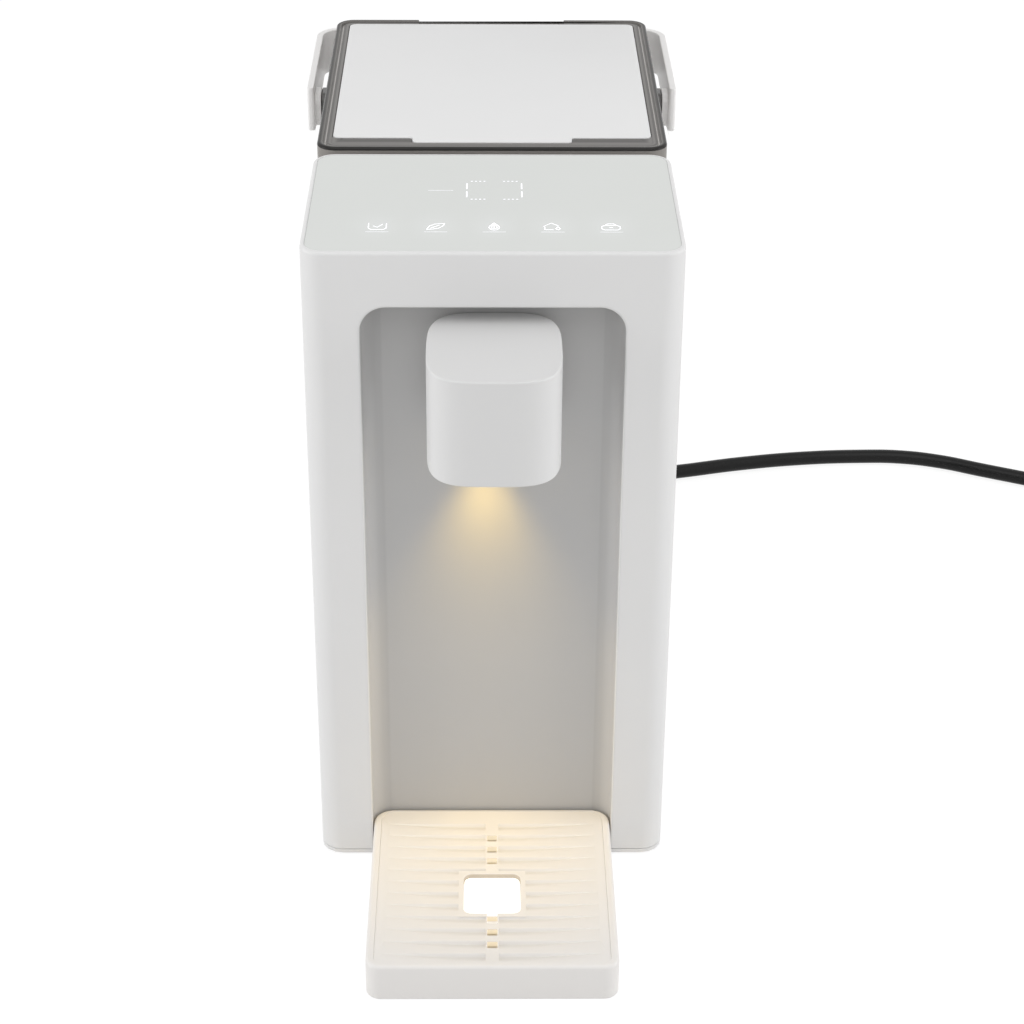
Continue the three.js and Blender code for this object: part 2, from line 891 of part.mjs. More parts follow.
function platePocket(grow, bottom, top) {
  const main = roundedRect(
    lidHalfWidth - lid.sideBorder + grow,
    lidFront + lid.frontBorder - grow,
    lidBack - lid.backBorder + grow,
    lidPlate.cornerRadius,
    lidPlate.cornerRadius,
  );
  const tongue = roundedRect(
    lidPlate.tongueHalfWidth + grow,
    lidFront + lid.frontBorder - lidPlate.tongueLength - grow,
    lidFront + lid.frontBorder + lid.frontBorder,
    lidPlate.cornerRadius / 2,
    leastRadius,
  );
  return join(S.prism(main, bottom, top), S.prism(tongue, bottom, top));
}

const skirtPlace = tank.wall + lid.skirtInset;

function lidFrame() {
  const plateBottom = lidTop - lidPlate.drop - lidPlate.thickness;
  const body = S.soft(lidOutline, lidBottom, lidTop, lid.edgeRadius);
  const groove = S.prism(lidOutline(lid.ridgeWidth), lidTop - lid.ridgeHeight, lidTop + overrun);
  const pocket = platePocket(gap, plateBottom - gap, lidTop + overrun);
  const roof = plateBottom - gap - lid.floorThickness;
  const skirtInner = skirtPlace + lid.skirtThickness;
  const underside = S.prism(tankOutline(skirtInner), lidBottom - lid.skirtDepth - overrun, roof);
  const skirt = S.prism(tankOutline(skirtPlace), lidBottom - lid.skirtDepth, lidBottom + gap);
  const notch = S.box(
    -lid.notchHalfWidth,
    lid.notchHalfWidth,
    lidBack - lid.backBorder,
    lidBack + overrun,
    lidTop - lid.ridgeHeight,
    lidTop + overrun,
  );
  return cut(join(body, skirt), groove, pocket, underside, notch);
}

place('tank_lid_frame', lidFrame(), paint.smoky);

const plateTop = lidTop - lidPlate.drop;
place('lid_plate', platePocket(0, plateTop - lidPlate.thickness, plateTop), paint.lidWhite);

function lidSealRing() {
  const top = lidBottom - lidSeal.drop;
  const ringOuter = S.prism(tankOutline(tank.wall + gap), top - lidSeal.height, top);
  const hole = S.prism(tankOutline(skirtPlace - gap), top - lidSeal.height - overrun, top + overrun);
  return cut(ringOuter, hole);
}

place('lid_seal', lidSealRing(), paint.silicone);

// Valve in the tank floor: sprung plunger that the dock's probe would push up

function valveBody() {
  const neck = valve.holeRadius - gap;
  const flangeBottom = tankFloorTop + gap;
  const profile = [
    [valve.seatRadius, valveBottom],
    [neck, valveBottom],
    [neck, flangeBottom],
    [valve.flangeRadius, flangeBottom],
    [valve.flangeRadius, flangeBottom + valve.flangeThickness],
    [neck, flangeBottom + valve.flangeThickness],
    [neck, valveTop],
    [valve.boreRadius, valveTop],
    [valve.boreRadius, seatTop],
    [valve.seatRadius, seatTop],
    [valve.seatRadius, valveBottom],
  ];
  const body = S.turned(profile, 0, valveY);
  const low = flangeBottom + valve.flangeThickness + leastRadius;
  const half = valve.windowWidth / 2;
  const far = neck + overrun;
  const high = low + valve.windowHeight;
  const alongX = S.box(-far, far, valveY - half, valveY + half, low, high);
  const alongY = S.box(-half, half, valveY - far, valveY + far, low, high);
  return cut(body, alongX, alongY);
}

place('valve_body', valveBody(), paint.plasticNatural);

const sealBottom = seatTop + gap;
const headBottom = sealBottom + valve.sealThickness + gap;
const headTop = headBottom + valve.headThickness;
const capBottom = valveTop + gap;
const capTop = capBottom + valve.capThickness;

function valvePlunger() {
  const stemEnd = valveBottom + gap;
  const profile = [
    [0, stemEnd],
    [valve.stemRadius, stemEnd],
    [valve.stemRadius, headBottom],
    [valve.headRadius, headBottom],
    [valve.headRadius, headTop],
    [valve.guideRadius, headTop],
    [valve.guideRadius, capTop + valve.guideRise],
    [0, capTop + valve.guideRise],
  ];
  return S.turned(profile, 0, valveY);
}

place('valve_plunger', valvePlunger(), paint.plasticDark);
place('valve_seal', ring(
  clearRadius(valve.stemRadius, roundSides),
  valve.headRadius,
  sealBottom,
  sealBottom + valve.sealThickness,
  0,
  valveY,
), paint.silicone);

function valveCap() {
  const hole = clearRadius(valve.guideRadius, roundSides);
  const disc = ring(hole, valve.capRadius, capBottom, capTop, 0, valveY);
  const ports = [];
  for (const angle of [0, Math.PI / 2, Math.PI, -Math.PI / 2]) {
    const x = valve.portPlace * Math.cos(angle);
    const y = valveY + valve.portPlace * Math.sin(angle);
    const ends = [capBottom - cutPast, capTop + cutPast];
    ports.push(S.cylinder('z', valve.portRadius, ends[0], ends[1], [x, y], smallSides));
  }
  return cut(disc, ...ports);
}

place('valve_cap', valveCap(), paint.plasticNatural);

// One unbroken tube through a list of points that never runs straight up

function tubeThrough(points, radius, sides) {
  const up = new THREE.Vector3(0, 0, 1);
  const positions = [];
  const index = [];
  points.forEach((point, k) => {
    const before = points[Math.max(k - 1, 0)];
    const after = points[Math.min(k + 1, points.length - 1)];
    const along = after.clone().sub(before).normalize();
    const side = along.clone().cross(up).normalize();
    const rise = side.clone().cross(along);
    for (let i = 0; i < sides; i += 1) {
      const a = ((i + 0.5) / sides) * Math.PI * 2;
      const p = point.clone().addScaledVector(side, radius * Math.cos(a));
      p.addScaledVector(rise, radius * Math.sin(a));
      positions.push(p.x, p.y, p.z);
      if (k > 0) {
        const b = (i + 1) % sides;
        const here = k * sides;
        const back = here - sides;
        index.push(back + i, here + i, here + b, back + i, here + b, back + b);
      }
    }
  });
  const last = (points.length - 1) * sides;
  for (let i = 1; i + 1 < sides; i += 1) {
    index.push(0, i, i + 1, last, last + i + 1, last + i);
  }
  const geometry = new THREE.BufferGeometry();
  geometry.setAttribute('position', new THREE.Float32BufferAttribute(positions, 3));
  geometry.setIndex(index);
  return geometry;
}

// Least gap of a tube to itself, measured between points of its middle line that are more than
// three diameters apart along it
function leastGap(points, diameter) {
  const run = [0];
  for (let i = 1; i < points.length; i += 1) {
    run.push(run[i - 1] + points[i].distanceTo(points[i - 1]));
  }
  let least = Infinity;
  for (let i = 0; i < points.length; i += 1) {
    for (let j = i + 1; j < points.length; j += 1) {
      if (run[j] - run[i] > diameter * 3) {
        least = Math.min(least, points[i].distanceTo(points[j]) - diameter);
      }
    }
  }
  return least;
}

function springPoints() {
  const bottom = headTop + gap + spring.wire;
  const top = capBottom - gap - spring.wire;
  const steps = spring.curls * spring.stepsPerCurl;
  const points = [];
  for (let i = 0; i <= steps; i += 1) {
    const a = (i / spring.stepsPerCurl) * Math.PI * 2;
    const x = spring.radius * Math.cos(a);
    const y = valveY + spring.radius * Math.sin(a);
    points.push(new THREE.Vector3(x, y, bottom + ((top - bottom) * i) / steps));
  }
  return points;
}

const springLine = springPoints();
console.log('least gap of valve_spring to itself, mm:', leastGap(springLine, spring.wire * 2).toFixed(2));
place('valve_spring', asSolid(tubeThrough(springLine, spring.wire, spring.sides)), paint.steel);

// Handle: a strap folded back round the tank, with a hub inside each arm's front end

function handleStrap() {
  const outer = roundedRect(handleHalfWidth, handleFront, handleBack, leastRadius, handle.cornerRadius);
  const inner = roundedRect(
    handleInner,
    handleFront - handleBack,
    handleBack - handle.thickness,
    leastRadius,
    handle.cornerRadius - handle.thickness,
  );
  const top = handleBottom + handle.height;
  const strap = cut(S.prism(outer, handleBottom, top), S.prism(inner, 0, top + overrun));
  const hubs = [];
  const bores = [];
  for (const side of [-1, 1]) {
    const ends = [side * (handleInner + leastRadius), side * (handleInner - handle.hubThickness)];
    ends.sort((a, b) => a - b);
    const outline = roundedRect(
      handle.hubLength / 2,
      handleBottom,
      top,
      handle.hubRadius,
      handle.hubRadius,
      0,
      pivotY,
    );
    const hub = prism(outline, ends[0], ends[1]);
    hub.rotateX(Math.PI / 2);
    hub.rotateZ(Math.PI / 2);
    hubs.push(asSolid(hub));
    const hubInner = handleInner - handle.hubThickness;
    const reach = [side * (hubInner - overrun), side * (handleHalfWidth + overrun)];
    reach.sort((a, b) => a - b);
    const radius = clearRadius(handle.pivotRadius, smallSides);
    bores.push(S.cylinder('x', radius, reach[0], reach[1], [pivotY, pivotZ], smallSides));
  }
  return cut(join(strap, ...hubs), ...bores);
}

place('tank_handle', handleStrap(), paint.lidWhite);

// Pivot: a pad welded to the tank's side with a stub pin that the handle's hub snaps over
function handlePivot(side) {
  const face = handleInner - handle.hubThickness - gap;
  const ends = [side * (tankHalfWidth + gap), side * face].sort((a, b) => a - b);
  const outline = roundedRect(
    handle.hubLength / 2,
    handleBottom + leastRadius,
    handleTop - handle.hubRadius / 2,
    handle.hubRadius,
    handle.hubRadius,
    0,
    pivotY,
  );
  const pad = prism(outline, ends[0], ends[1]);
  pad.rotateX(Math.PI / 2);
  pad.rotateZ(Math.PI / 2);
  const stub = [side * (face - leastRadius), side * (handleHalfWidth - leastRadius)].sort((a, b) => a - b);
  const pin = S.cylinder('x', handle.pivotRadius, stub[0], stub[1], [pivotY, pivotZ], smallSides);
  return join(asSolid(pad), pin);
}

place('handle_pivot_left', handlePivot(-1), paint.smokyBoss);
place('handle_pivot_right', handlePivot(1), paint.smokyBoss);

// Spout: a hollow squircle pod held to the recess wall by a flat neck

function spoutHousing() {
  const outlineAt = (inset) => squircle(spout.halfWidth, spout.halfDepth, spoutY, inset);
  const pod = S.soft(outlineAt, spoutBottom, spoutTop, spout.edgeRadius);
  const hollow = S.prism(outlineAt(spout.wall), spoutBottom - overrun, spoutTop - spout.wall);
  const back = recess.depth - gap;
  const neck = S.box(
    -spout.neckHalfWidth,
    spout.neckHalfWidth,
    back - spout.wall,
    back,
    outletZ - spout.neckHeight / 2,
    outletZ + spout.neckHeight / 2 - overrun,
  );
  const pipeHole = S.cylinder(
    'y',
    clearRadius(hoseRadius, smallSides),
    back - spout.halfDepth,
    back + overrun,
    [0, outletZ],
    smallSides,
  );
  return cut(join(cut(pod, hollow), neck), pipeHole);
}

place('spout_housing', spoutHousing(), paint.shellWhite);

const coverTop = spoutBottom + spout.coverThickness;

function spoutCover() {
  const outline = squircle(spout.halfWidth, spout.halfDepth, spoutY, spout.wall + gap);
  const plate = S.prism(outline, spoutBottom, coverTop);
  const nozzleHole = S.cylinder(
    'z',
    clearRadius(nozzle.radius, roundSides),
    spoutBottom - cutPast,
    coverTop + cutPast,
    [0, nozzleY],
  );
  const lensHole = S.cylinder(
    'z',
    clearRadius(led.lensRadius, roundSides),
    spoutBottom - cutPast,
    coverTop + cutPast,
    [0, ledY],
  );
  return cut(plate, nozzleHole, lensHole);
}

place('spout_cover', spoutCover(), paint.shellWhite);

const nozzleBottom = spoutBottom - nozzle.drop;
const nozzleTop = nozzleBottom + nozzle.length;

function nozzlePiece() {
  const profile = [
    [nozzle.boreRadius, nozzleBottom],
    [nozzle.tipRadius, nozzleBottom],
    [nozzle.radius, nozzleBottom + nozzle.drop / 2],
    [nozzle.radius, coverTop + gap],
    [nozzle.collar, coverTop + gap],
    [nozzle.collar, coverTop + gap + spout.coverThickness],
    [barb.radius, coverTop + gap + spout.coverThickness],
    [barb.radius, nozzleTop],
    [nozzle.boreRadius, nozzleTop],
    [nozzle.boreRadius, nozzleBottom],
  ];
  return S.turned(profile, 0, nozzleY);
}

place('nozzle', nozzlePiece(), paint.steel);

// Light window and its board, potted as one piece
const ledBoardBottom = coverTop + gap;
place('led_module', join(
  S.cylinder('z', led.lensRadius, spoutBottom, ledBoardBottom + leastRadius, [0, ledY]),
  S.cylinder('z', led.boardRadius, ledBoardBottom, ledBoardBottom + led.boardThickness, [0, ledY]),
), paint.lens);

// Drip tray with a raised island under the grille's hole

function trayOutline(inset) {
  return roundedRect(trayHalfWidth, trayFront, trayBack, tray.frontRadius, tray.backRadius, inset);
}

function grilleOutline(grow) {
  return roundedRect(
    trayHalfWidth - tray.sideRim + grow,
    trayFront + tray.endRim - grow,
    trayBack - tray.endRim + grow,
    tray.frontRadius - tray.endRim,
    tray.backRadius - tray.endRim,
  );
}

const grilleTop = tray.height - grille.drop;
const grilleBottom = grilleTop - grille.thickness;

function dripTray() {
  const body = S.soft(trayOutline, 0, tray.height, tray.edgeRadius);
  const seat = S.prism(grilleOutline(gap), grilleBottom - gap, tray.height + overrun);
  const bowl = S.prism(grilleOutline(-tray.ledgeWidth), tray.floor, tray.height + overrun);
  const islandX = grille.holeHalfWidth + grille.holeBorder;
  const island = S.box(
    -islandX,
    islandX,
    holeFront - grille.holeBorder,
    holeBack + grille.holeBorder,
    tray.floor - gap,
    tray.islandHeight,
  );
  return join(cut(body, seat, bowl), island);
}

place('drip_tray', dripTray(), paint.trayWhite);

// Cross grooves have a straight rear edge and a front edge that bows out at the middle
function grooveOutline(y) {
  const points = [];
  const half = grille.grooveWidth / 2;
  for (let i = 0; i <= grille.grooveSteps; i += 1) {
    const t = (i / grille.grooveSteps) * 2 - 1;
    const bow = 1 - t * t;
    points.push(new THREE.Vector2(grille.grooveHalfLength * t, y + half - grille.grooveWidth * bow));
  }
  points.push(new THREE.Vector2(grille.grooveHalfLength, y + half + leastRadius));
  points.push(new THREE.Vector2(-grille.grooveHalfLength, y + half + leastRadius));
  return points;
}

function dripGrille() {
  const plate = S.prism(grilleOutline(0), grilleBottom, grilleTop);
  const hole = S.prism(roundedRect(
    grille.holeHalfWidth,
    holeFront,
    holeBack,
    grille.holeRadius,
    grille.holeRadius,
  ), 0, tray.height + overrun);
  const notch = S.box(
    -grille.notchHalfWidth,
    grille.notchHalfWidth,
    holeFront - grille.notchDepth,
    holeFront + overrun,
    0,
    tray.height + overrun,
  );
  const border = S.box(
    -grille.holeHalfWidth - grille.holeBorder,
    grille.holeHalfWidth + grille.holeBorder,
    holeFront - grille.holeBorder,
    holeBack + grille.holeBorder,
    0,
    tray.height + overrun,
  );
  const grooves = [];
  const slots = [];
  const holeMiddle = (holeFront + holeBack) / 2;
  const holeReach = (holeBack - holeFront + grille.groovePitch) / 2;
  const inHole = (y) => Math.abs(y - holeMiddle) < holeReach;
  for (let i = 0; i < grille.grooveCount; i += 1) {
    const y = trayBack - grille.groovePlace - i * grille.groovePitch;
    const groove = S.prism(grooveOutline(y), grilleTop - grille.grooveDepth, grilleTop + overrun);
    grooves.push(groove);
    const behind = trayBack - y;
    if (!inHole(y) && behind > grille.slotRearPlace && behind < grille.slotFrontPlace) {
      const near = y - grille.grooveWidth / 2;
      const far = y + grille.grooveWidth / 2;
      slots.push(S.box(-grille.slotHalfWidth, grille.slotHalfWidth, near, far, 0, tray.height + overrun));
    }
  }
  const cuts = join(grooves[0], ...grooves.slice(1)).subtract(border);
  return cut(plate, cuts, hole, notch, ...slots);
}

place('drip_grille', dripGrille(), paint.trayWhite);

// Pump: motor, shaft and impeller on one axis along Y

const pumpFront = pumpY - pump.headDepth / 2;
const pumpBack = pumpY + pump.headDepth / 2;
const pumpAxis = [pump.x, pump.z];

function pumpHousing() {
  const body = S.cylinder('y', pump.headRadius, pumpFront, pumpBack, pumpAxis);
  const cavityRadius = pump.headRadius - pump.wall;
  const cavity = S.cylinder('y', cavityRadius, pumpFront + pump.wall, pumpBack + cutPast, pumpAxis);
  const inletEnd = pumpFront - barb.length;
  const inlet = S.cylinder('y', barb.radius, inletEnd, pumpFront + gap, pumpAxis, smallSides);
  const inletBore = S.cylinder('y', barb.boreRadius, inletEnd - cutPast, pumpY, pumpAxis, smallSides);
  const outletAt = [pump.x - pump.outletPlace, pumpY];
  const outletTop = pump.z + pump.headRadius + barb.length;
  const outlet = S.cylinder('z', barb.radius, pump.z, outletTop, outletAt, smallSides);
  const outletBore = S.cylinder('z', barb.boreRadius, pump.z, outletTop + cutPast, outletAt, smallSides);
  return cut(join(body, inlet, outlet), cavity, inletBore, outletBore);
}

place('pump_housing', pumpHousing(), paint.plasticDark);

const motorFront = pumpBack + gap;
const motorBack = motorFront + pump.flangeThickness + pump.motorLength;

function pumpMotor() {
  const can = S.cylinder('y', pump.motorRadius, motorFront, motorBack, pumpAxis);
  const flangeBack = motorFront + pump.flangeThickness;
  const flange = S.cylinder('y', pump.headRadius, motorFront, flangeBack, pumpAxis);
  const radius = clearRadius(pump.shaftRadius, smallSides);
  const boreEnd = motorFront + pump.shaftDepth;
  const bore = S.cylinder('y', radius, motorFront - cutPast, boreEnd, pumpAxis, smallSides);
  return cut(join(can, flange), bore);
}

place('pump_motor', pumpMotor(), paint.steel);

const impellerBack = pumpBack - gap * 2;
const impellerFront = impellerBack - pump.impellerThickness;
const vaneFront = impellerFront - pump.vaneHeight;
const shaftBack = motorFront + pump.shaftDepth - gap;

place('pump_shaft', cylinder(
  'y',
  pump.shaftRadius,
  vaneFront,
  shaftBack,
  pumpAxis,
  smallSides,
), paint.steel);

function pumpImpeller() {
  const disc = S.cylinder('y', pump.impellerRadius, impellerFront, impellerBack, pumpAxis);
  const hub = S.cylinder('y', pump.hubRadius, vaneFront, impellerBack, pumpAxis, smallSides);
  const vanes = [];
  for (let i = 0; i < vaneCount; i += 1) {
    const half = pump.vaneThickness / 2;
    const back = impellerFront + gap;
    const vane = box(pump.vaneInner - overrun, pump.impellerRadius - gap, vaneFront, back, -half, half);
    vane.rotateY((i / vaneCount) * Math.PI * 2);
    vane.translate(pump.x, 0, pump.z);
    vanes.push(asSolid(vane));
  }
  const radius = clearRadius(pump.shaftRadius, smallSides);
  const bore = S.cylinder('y', radius, vaneFront - cutPast, impellerBack + cutPast, pumpAxis, smallSides);
  return cut(join(disc, hub, ...vanes), bore);
}

place('pump_impeller', pumpImpeller(), paint.plasticNatural);

function pumpCradle() {
  const near = motorFront + pump.flangeThickness + gap;
  const bottom = lipTop + gap;
  const top = pump.z - pump.motorRadius + cradle.wrapHeight;
  const left = pump.x - cradle.halfWidth - cradle.wall;
  const right = pump.x + cradle.halfWidth + cradle.wall;
  const block = S.box(left, right, near, near + cradle.length, bottom, top);
  const room = clearRadius(pump.motorRadius, roundSides);
  return cut(block, S.cylinder('y', room, near - cutPast, near + cradle.length + cutPast, pumpAxis));
}

place('pump_cradle', pumpCradle(), paint.rubberBlack);

// Heater: an upright steel tube between two capped ends, clamped to the column's back wall

const heaterAxis = [heater.x, heater.y];

place('heater_tube', ring(
  heater.radius - heater.wall,
  heater.radius,
  heater.bottom,
  heaterTop,
  heater.x,
  heater.y,
), paint.steel);

function heaterCap(inside, outside, barbEnd) {
  const up = Math.sign(outside - inside);
  const lipRadius = heater.radius - heater.wall - gap;
  const seat = inside + up * gap;
  const lipEnd = inside - up * heater.capLip;
  const order = (a, b) => [Math.min(a, b), Math.max(a, b)];
  const head = S.cylinder('z', heater.radius, ...order(seat, outside), heaterAxis);
  const lip = S.cylinder('z', lipRadius, ...order(lipEnd, outside), heaterAxis);
  const stub = S.cylinder('z', barb.radius, ...order(outside - up * gap, barbEnd), heaterAxis, smallSides);
  const bore = S.cylinder(
    'z',
    barb.boreRadius,
    ...order(lipEnd, barbEnd + up),
    heaterAxis,
    smallSides,
  );
  const hollow = S.cylinder(
    'z',
    lipRadius - heater.capWall,
    ...order(lipEnd - up, outside - up * heater.capWall),
    heaterAxis,
  );
  return cut(join(head, lip, stub), bore, hollow);
}

const upperBarbEnd = heaterCapTop + barb.length;
const lowerBarbEnd = heaterCapBottom - barb.length;

function upperCap() {
  const sensorHole = S.cylinder(
    'z',
    clearRadius(sensor.radius, smallSides),
    heaterTop - heater.capLip - cutPast,
    heaterCapTop + cutPast,
    [heater.x + sensor.place, heater.y],
    smallSides,
  );
  return cut(heaterCap(heaterTop, heaterCapTop, upperBarbEnd), sensorHole);
}

place('heater_cap_top', upperCap(), paint.plasticDark);
place('heater_cap_bottom', heaterCap(heater.bottom, heaterCapBottom, lowerBarbEnd), paint.plasticDark);
place('outlet_sensor', cylinder(
  'z',
  sensor.radius,
  heaterCapTop + sensor.length / 3 - sensor.length,
  heaterCapTop + sensor.length / 3,
  [heater.x + sensor.place, heater.y],
  smallSides,
), paint.steel);

function heaterBracket() {
  const inner = clearRadius(heater.radius, roundSides);
  const outer = inner + bracket.thickness;
  const plateBack = backWallInside - gap;
  const plateFront = plateBack - bracket.thickness;
  const left = heater.x - bracket.halfWidth;
  const right = heater.x + bracket.halfWidth;
  const plateBottom = heater.bottom + bracket.endInset;
  const plateTop = heaterTop - bracket.endInset;
  const plate = S.box(left, right, plateFront, plateBack, plateBottom, plateTop);
  const rings = [];
  const lows = [plateBottom, plateTop - bracket.ringHeight];
  for (const low of lows) {
    const high = low + bracket.ringHeight;
    rings.push(ring(inner, outer, low, high, heater.x, heater.y));
    const half = bracket.thickness / 2;
    const near = heater.y + inner + gap;
    rings.push(S.box(heater.x - half, heater.x + half, near, plateFront + gap, low, high));
  }
  return join(plate, ...rings);
}

place('heater_bracket', heaterBracket(), paint.steel);

const cutoutBack = heater.y - heater.radius - gap;
const cutoutZ = heaterTop - cutout.topDrop;

function thermalCutout() {
  const front = cutoutBack - cutout.depth;
  const can = S.cylinder('y', cutout.radius, front, cutoutBack, [heater.x, cutoutZ], roundSides);
  const half = cutout.terminalWidth / 2;
  const tag = S.box(
    heater.x - half,
    heater.x + half,
    front - overrun,
    front + gap,
    cutoutZ - cutout.terminalHeight / 2,
    cutoutZ + cutout.terminalHeight / 2,
  );
  return join(can, tag);
}

place('thermal_cutout', thermalCutout(), paint.aluminium);

// Steam chamber above the heater, vented at its top, feeding the outlet pipe

const chamberInletEnd = chamberBottom - barb.length;
const chamberOutletEnd = chamber.front - barb.length;

function steamChamber() {
  const outlineAt = (inset) => roundedRect(
    chamber.halfWidth,
    chamber.front,
    chamber.back,
    chamber.radius,
    chamber.radius,
    inset,
    chamber.x,
  );
  const body = S.prism(outlineAt(0), chamberBottom, chamberTop);
  const hollow = S.prism(outlineAt(chamber.wall), chamberBottom + chamber.wall, chamberTop - chamber.wall);
  const inlet = S.cylinder('z', barb.radius, chamberInletEnd, chamberBottom + gap, heaterAxis, smallSides);
  const inletBore = S.cylinder(
    'z',
    barb.boreRadius,
    chamberInletEnd - cutPast,
    chamberBottom + chamber.wall + cutPast,
    heaterAxis,
    smallSides,
  );
  const outletAt = [0, outletZ];
  const outlet = S.cylinder('y', barb.radius, chamberOutletEnd, chamber.front + gap, outletAt, smallSides);
  const outletBore = S.cylinder(
    'y',
    barb.boreRadius,
    chamberOutletEnd - cutPast,
    chamber.front + chamber.wall + cutPast,
    outletAt,
    smallSides,
  );
  const vent = S.cylinder(
    'z',
    barb.boreRadius,
    chamberTop - chamber.wall - cutPast,
    chamberTop + cutPast,
    [chamber.x, (chamber.front + chamber.back) / 2],
    smallSides,
  );
  return cut(join(body, inlet, outlet), hollow, inletBore, outletBore, vent);
}

place('steam_chamber', steamChamber(), paint.plasticNatural);

// Hoses: silicone tubes pushed over the barbs

function hoseAlong(route, steps) {
  const ringPoints = (radius) => {
    const points = [];
    for (let i = 0; i < hose.sides; i += 1) {
      const a = (i / hose.sides) * Math.PI * 2;
      points.push(new THREE.Vector2(radius * Math.cos(a), radius * Math.sin(a)));
    }
    return points;
  };
  const shape = new THREE.Shape(ringPoints(hoseRadius));
  shape.holes.push(new THREE.Path(ringPoints(hoseBore)));
  const path = new THREE.CatmullRomCurve3(route.map((p) => new THREE.Vector3(...p)));
  const geometry = new THREE.ExtrudeGeometry(shape, { steps, extrudePath: path, bevelEnabled: false });
  return asSolid(geometry);
}

const socketX = socket.barbPlace;
const socketEnd = socketMade.bottom - barb.length;
const socketSeat = socketMade.bottom - gap;
const supplyRoute = [
  [socketX, valveY, socketSeat],
  [socketX, valveY, socketEnd],
  [socketX, valveY, socketEnd - barb.length / 3],
  [socketX - barb.length / 2, valveY - barb.length / 2, pump.z + barb.length],
  [(socketX + pump.x) / 2, valveY - barb.length * 1.6, pump.z - barb.length / 3],
  [pump.x + barb.length / 2, valveY - barb.length / 2, pump.z - barb.length / 3],
  [pump.x, (valveY + pumpFront - barb.length) / 2, pump.z],
  [pump.x, pumpFront - barb.length - barb.length / 3, pump.z],
  [pump.x, pumpFront - barb.length, pump.z],
  [pump.x, pumpFront - gap, pump.z],
];
place('hose_dock_to_pump', hoseAlong(supplyRoute, hoseSteps.supply), paint.silicone);

const pumpOutX = pump.x - pump.outletPlace;
const pumpOutTop = pump.z + pump.headRadius;
const heaterInEnd = lowerBarbEnd;
const deckUnder = dock.height - dock.deckThickness - 2 * barb.radius;
const feedRoute = [
  [pumpOutX, pumpY, pumpOutTop + gap],
  [pumpOutX, pumpY, pumpOutTop + barb.length * 0.6],
  [pumpOutX, pumpY, pumpOutTop + barb.length * 1.1],
  [pumpOutX, pumpY - barb.length * 0.5, deckUnder - barb.length * 0.4],
  [pumpOutX, pumpY - barb.length * 1.8, deckUnder],
  [pumpOutX, (pumpY + column.depth) / 2, deckUnder - barb.length],
  [pumpOutX + barb.length, column.depth, pump.z + barb.length],
  [(pumpOutX + heater.x) / 2 + barb.length / 2, (column.depth + heater.y) / 2, pump.z - barb.length / 2],
  [heater.x, heater.y + barb.length / 2, heaterInEnd - barb.length * 1.6],
  [heater.x, heater.y, heaterInEnd - barb.length / 3],
  [heater.x, heater.y, heaterInEnd],
  [heater.x, heater.y, heaterCapBottom - gap],
];
place('hose_pump_to_heater', hoseAlong(feedRoute, hoseSteps.feed), paint.silicone);

const riserRoute = [
  [heater.x, heater.y, heaterCapTop + gap],
  [heater.x, heater.y, (heaterCapTop + chamberBottom) / 2],
  [heater.x, heater.y, chamberBottom - gap],
];
place('hose_heater_to_chamber', hoseAlong(riserRoute, hoseSteps.riser), paint.silicone);

const outletRoute = [
  [0, chamber.front - gap, outletZ],
  [0, chamberOutletEnd, outletZ],
  [0, nozzleY + outletPipe.bendRadius, outletZ],
  [0, nozzleY + outletPipe.bendRadius * 0.3, outletZ - outletPipe.bendRadius * 0.3],
  [0, nozzleY, outletZ - outletPipe.bendRadius],
  [0, nozzleY, nozzleTop],
  [0, nozzleY, coverTop + spout.coverThickness + 2 * gap],
];
place('outlet_hose', hoseAlong(outletRoute, hoseSteps.outlet), paint.silicone);

// Control electronics on the back wall of the column

const boardBack = backWallInside - board.standoff - gap;
const boardFront = boardBack - board.thickness;
const partsBack = boardFront - gap;

place('main_board', box(
  boardLeft,
  boardRight,
  boardFront,
  boardBack,
  board.bottom,
  boardTop,
), paint.boardGreen);

// Places on the board are measured from its lower left corner
function onBoard(size) {
  const x = boardLeft + size.x;
  const z = board.bottom + size.z;
  const half = size.width / 2;
  const tall = size.height / 2;
  return S.box(x - half, x + half, partsBack - size.depth, partsBack, z - tall, z + tall);
}

place('power_relay', onBoard(relay), paint.relayBlue);
place('transformer', onBoard(transformer), paint.plasticDark);
function triacHeatsink() {
  const plate = onBoard({ ...heatsink, depth: heatsink.plate });
  const left = boardLeft + heatsink.x - heatsink.width / 2;
  const bottom = board.bottom + heatsink.z - heatsink.height / 2;
  const fins = [];
  for (let i = 0; i < heatsink.fins; i += 1) {
    const span = heatsink.width - heatsink.finThickness;
    const x = left + (i / (heatsink.fins - 1)) * span;
    const front = partsBack - heatsink.depth;
    const back = partsBack - heatsink.plate / 2;
    fins.push(S.box(x, x + heatsink.finThickness, front, back, bottom, bottom + heatsink.height));
  }
  return join(plate, ...fins);
}

place('triac_heatsink', triacHeatsink(), paint.aluminium);

const flangeUnder = column.height - panel.drop - panel.thickness - gap - column.flangeThickness;
const displayBoardTop = flangeUnder - gap;

// The segment display is soldered on the board and fills the opening under the panel
function controlBoard() {
  const outline = columnOutline(column.flangeWidth - displayBoard.overlap);
  const plate = S.prism(outline, displayBoardTop - displayBoard.thickness, displayBoardTop);
  const segments = S.box(
    display.x - display.width / 2,
    display.x + display.width / 2,
    display.y - display.depth / 2,
    display.y + display.depth / 2,
    displayBoardTop - leastRadius,
    column.height - panel.drop - panel.thickness - gap,
  );
  return join(plate, segments);
}

place('display_board', controlBoard(), paint.boardGreen);

// Strain relief, cord, coil and plug

const exitAxis = [cord.exitX, cord.exitZ];
const bootBack = dockBack + gap + relief.flangeThickness + relief.bootLength;

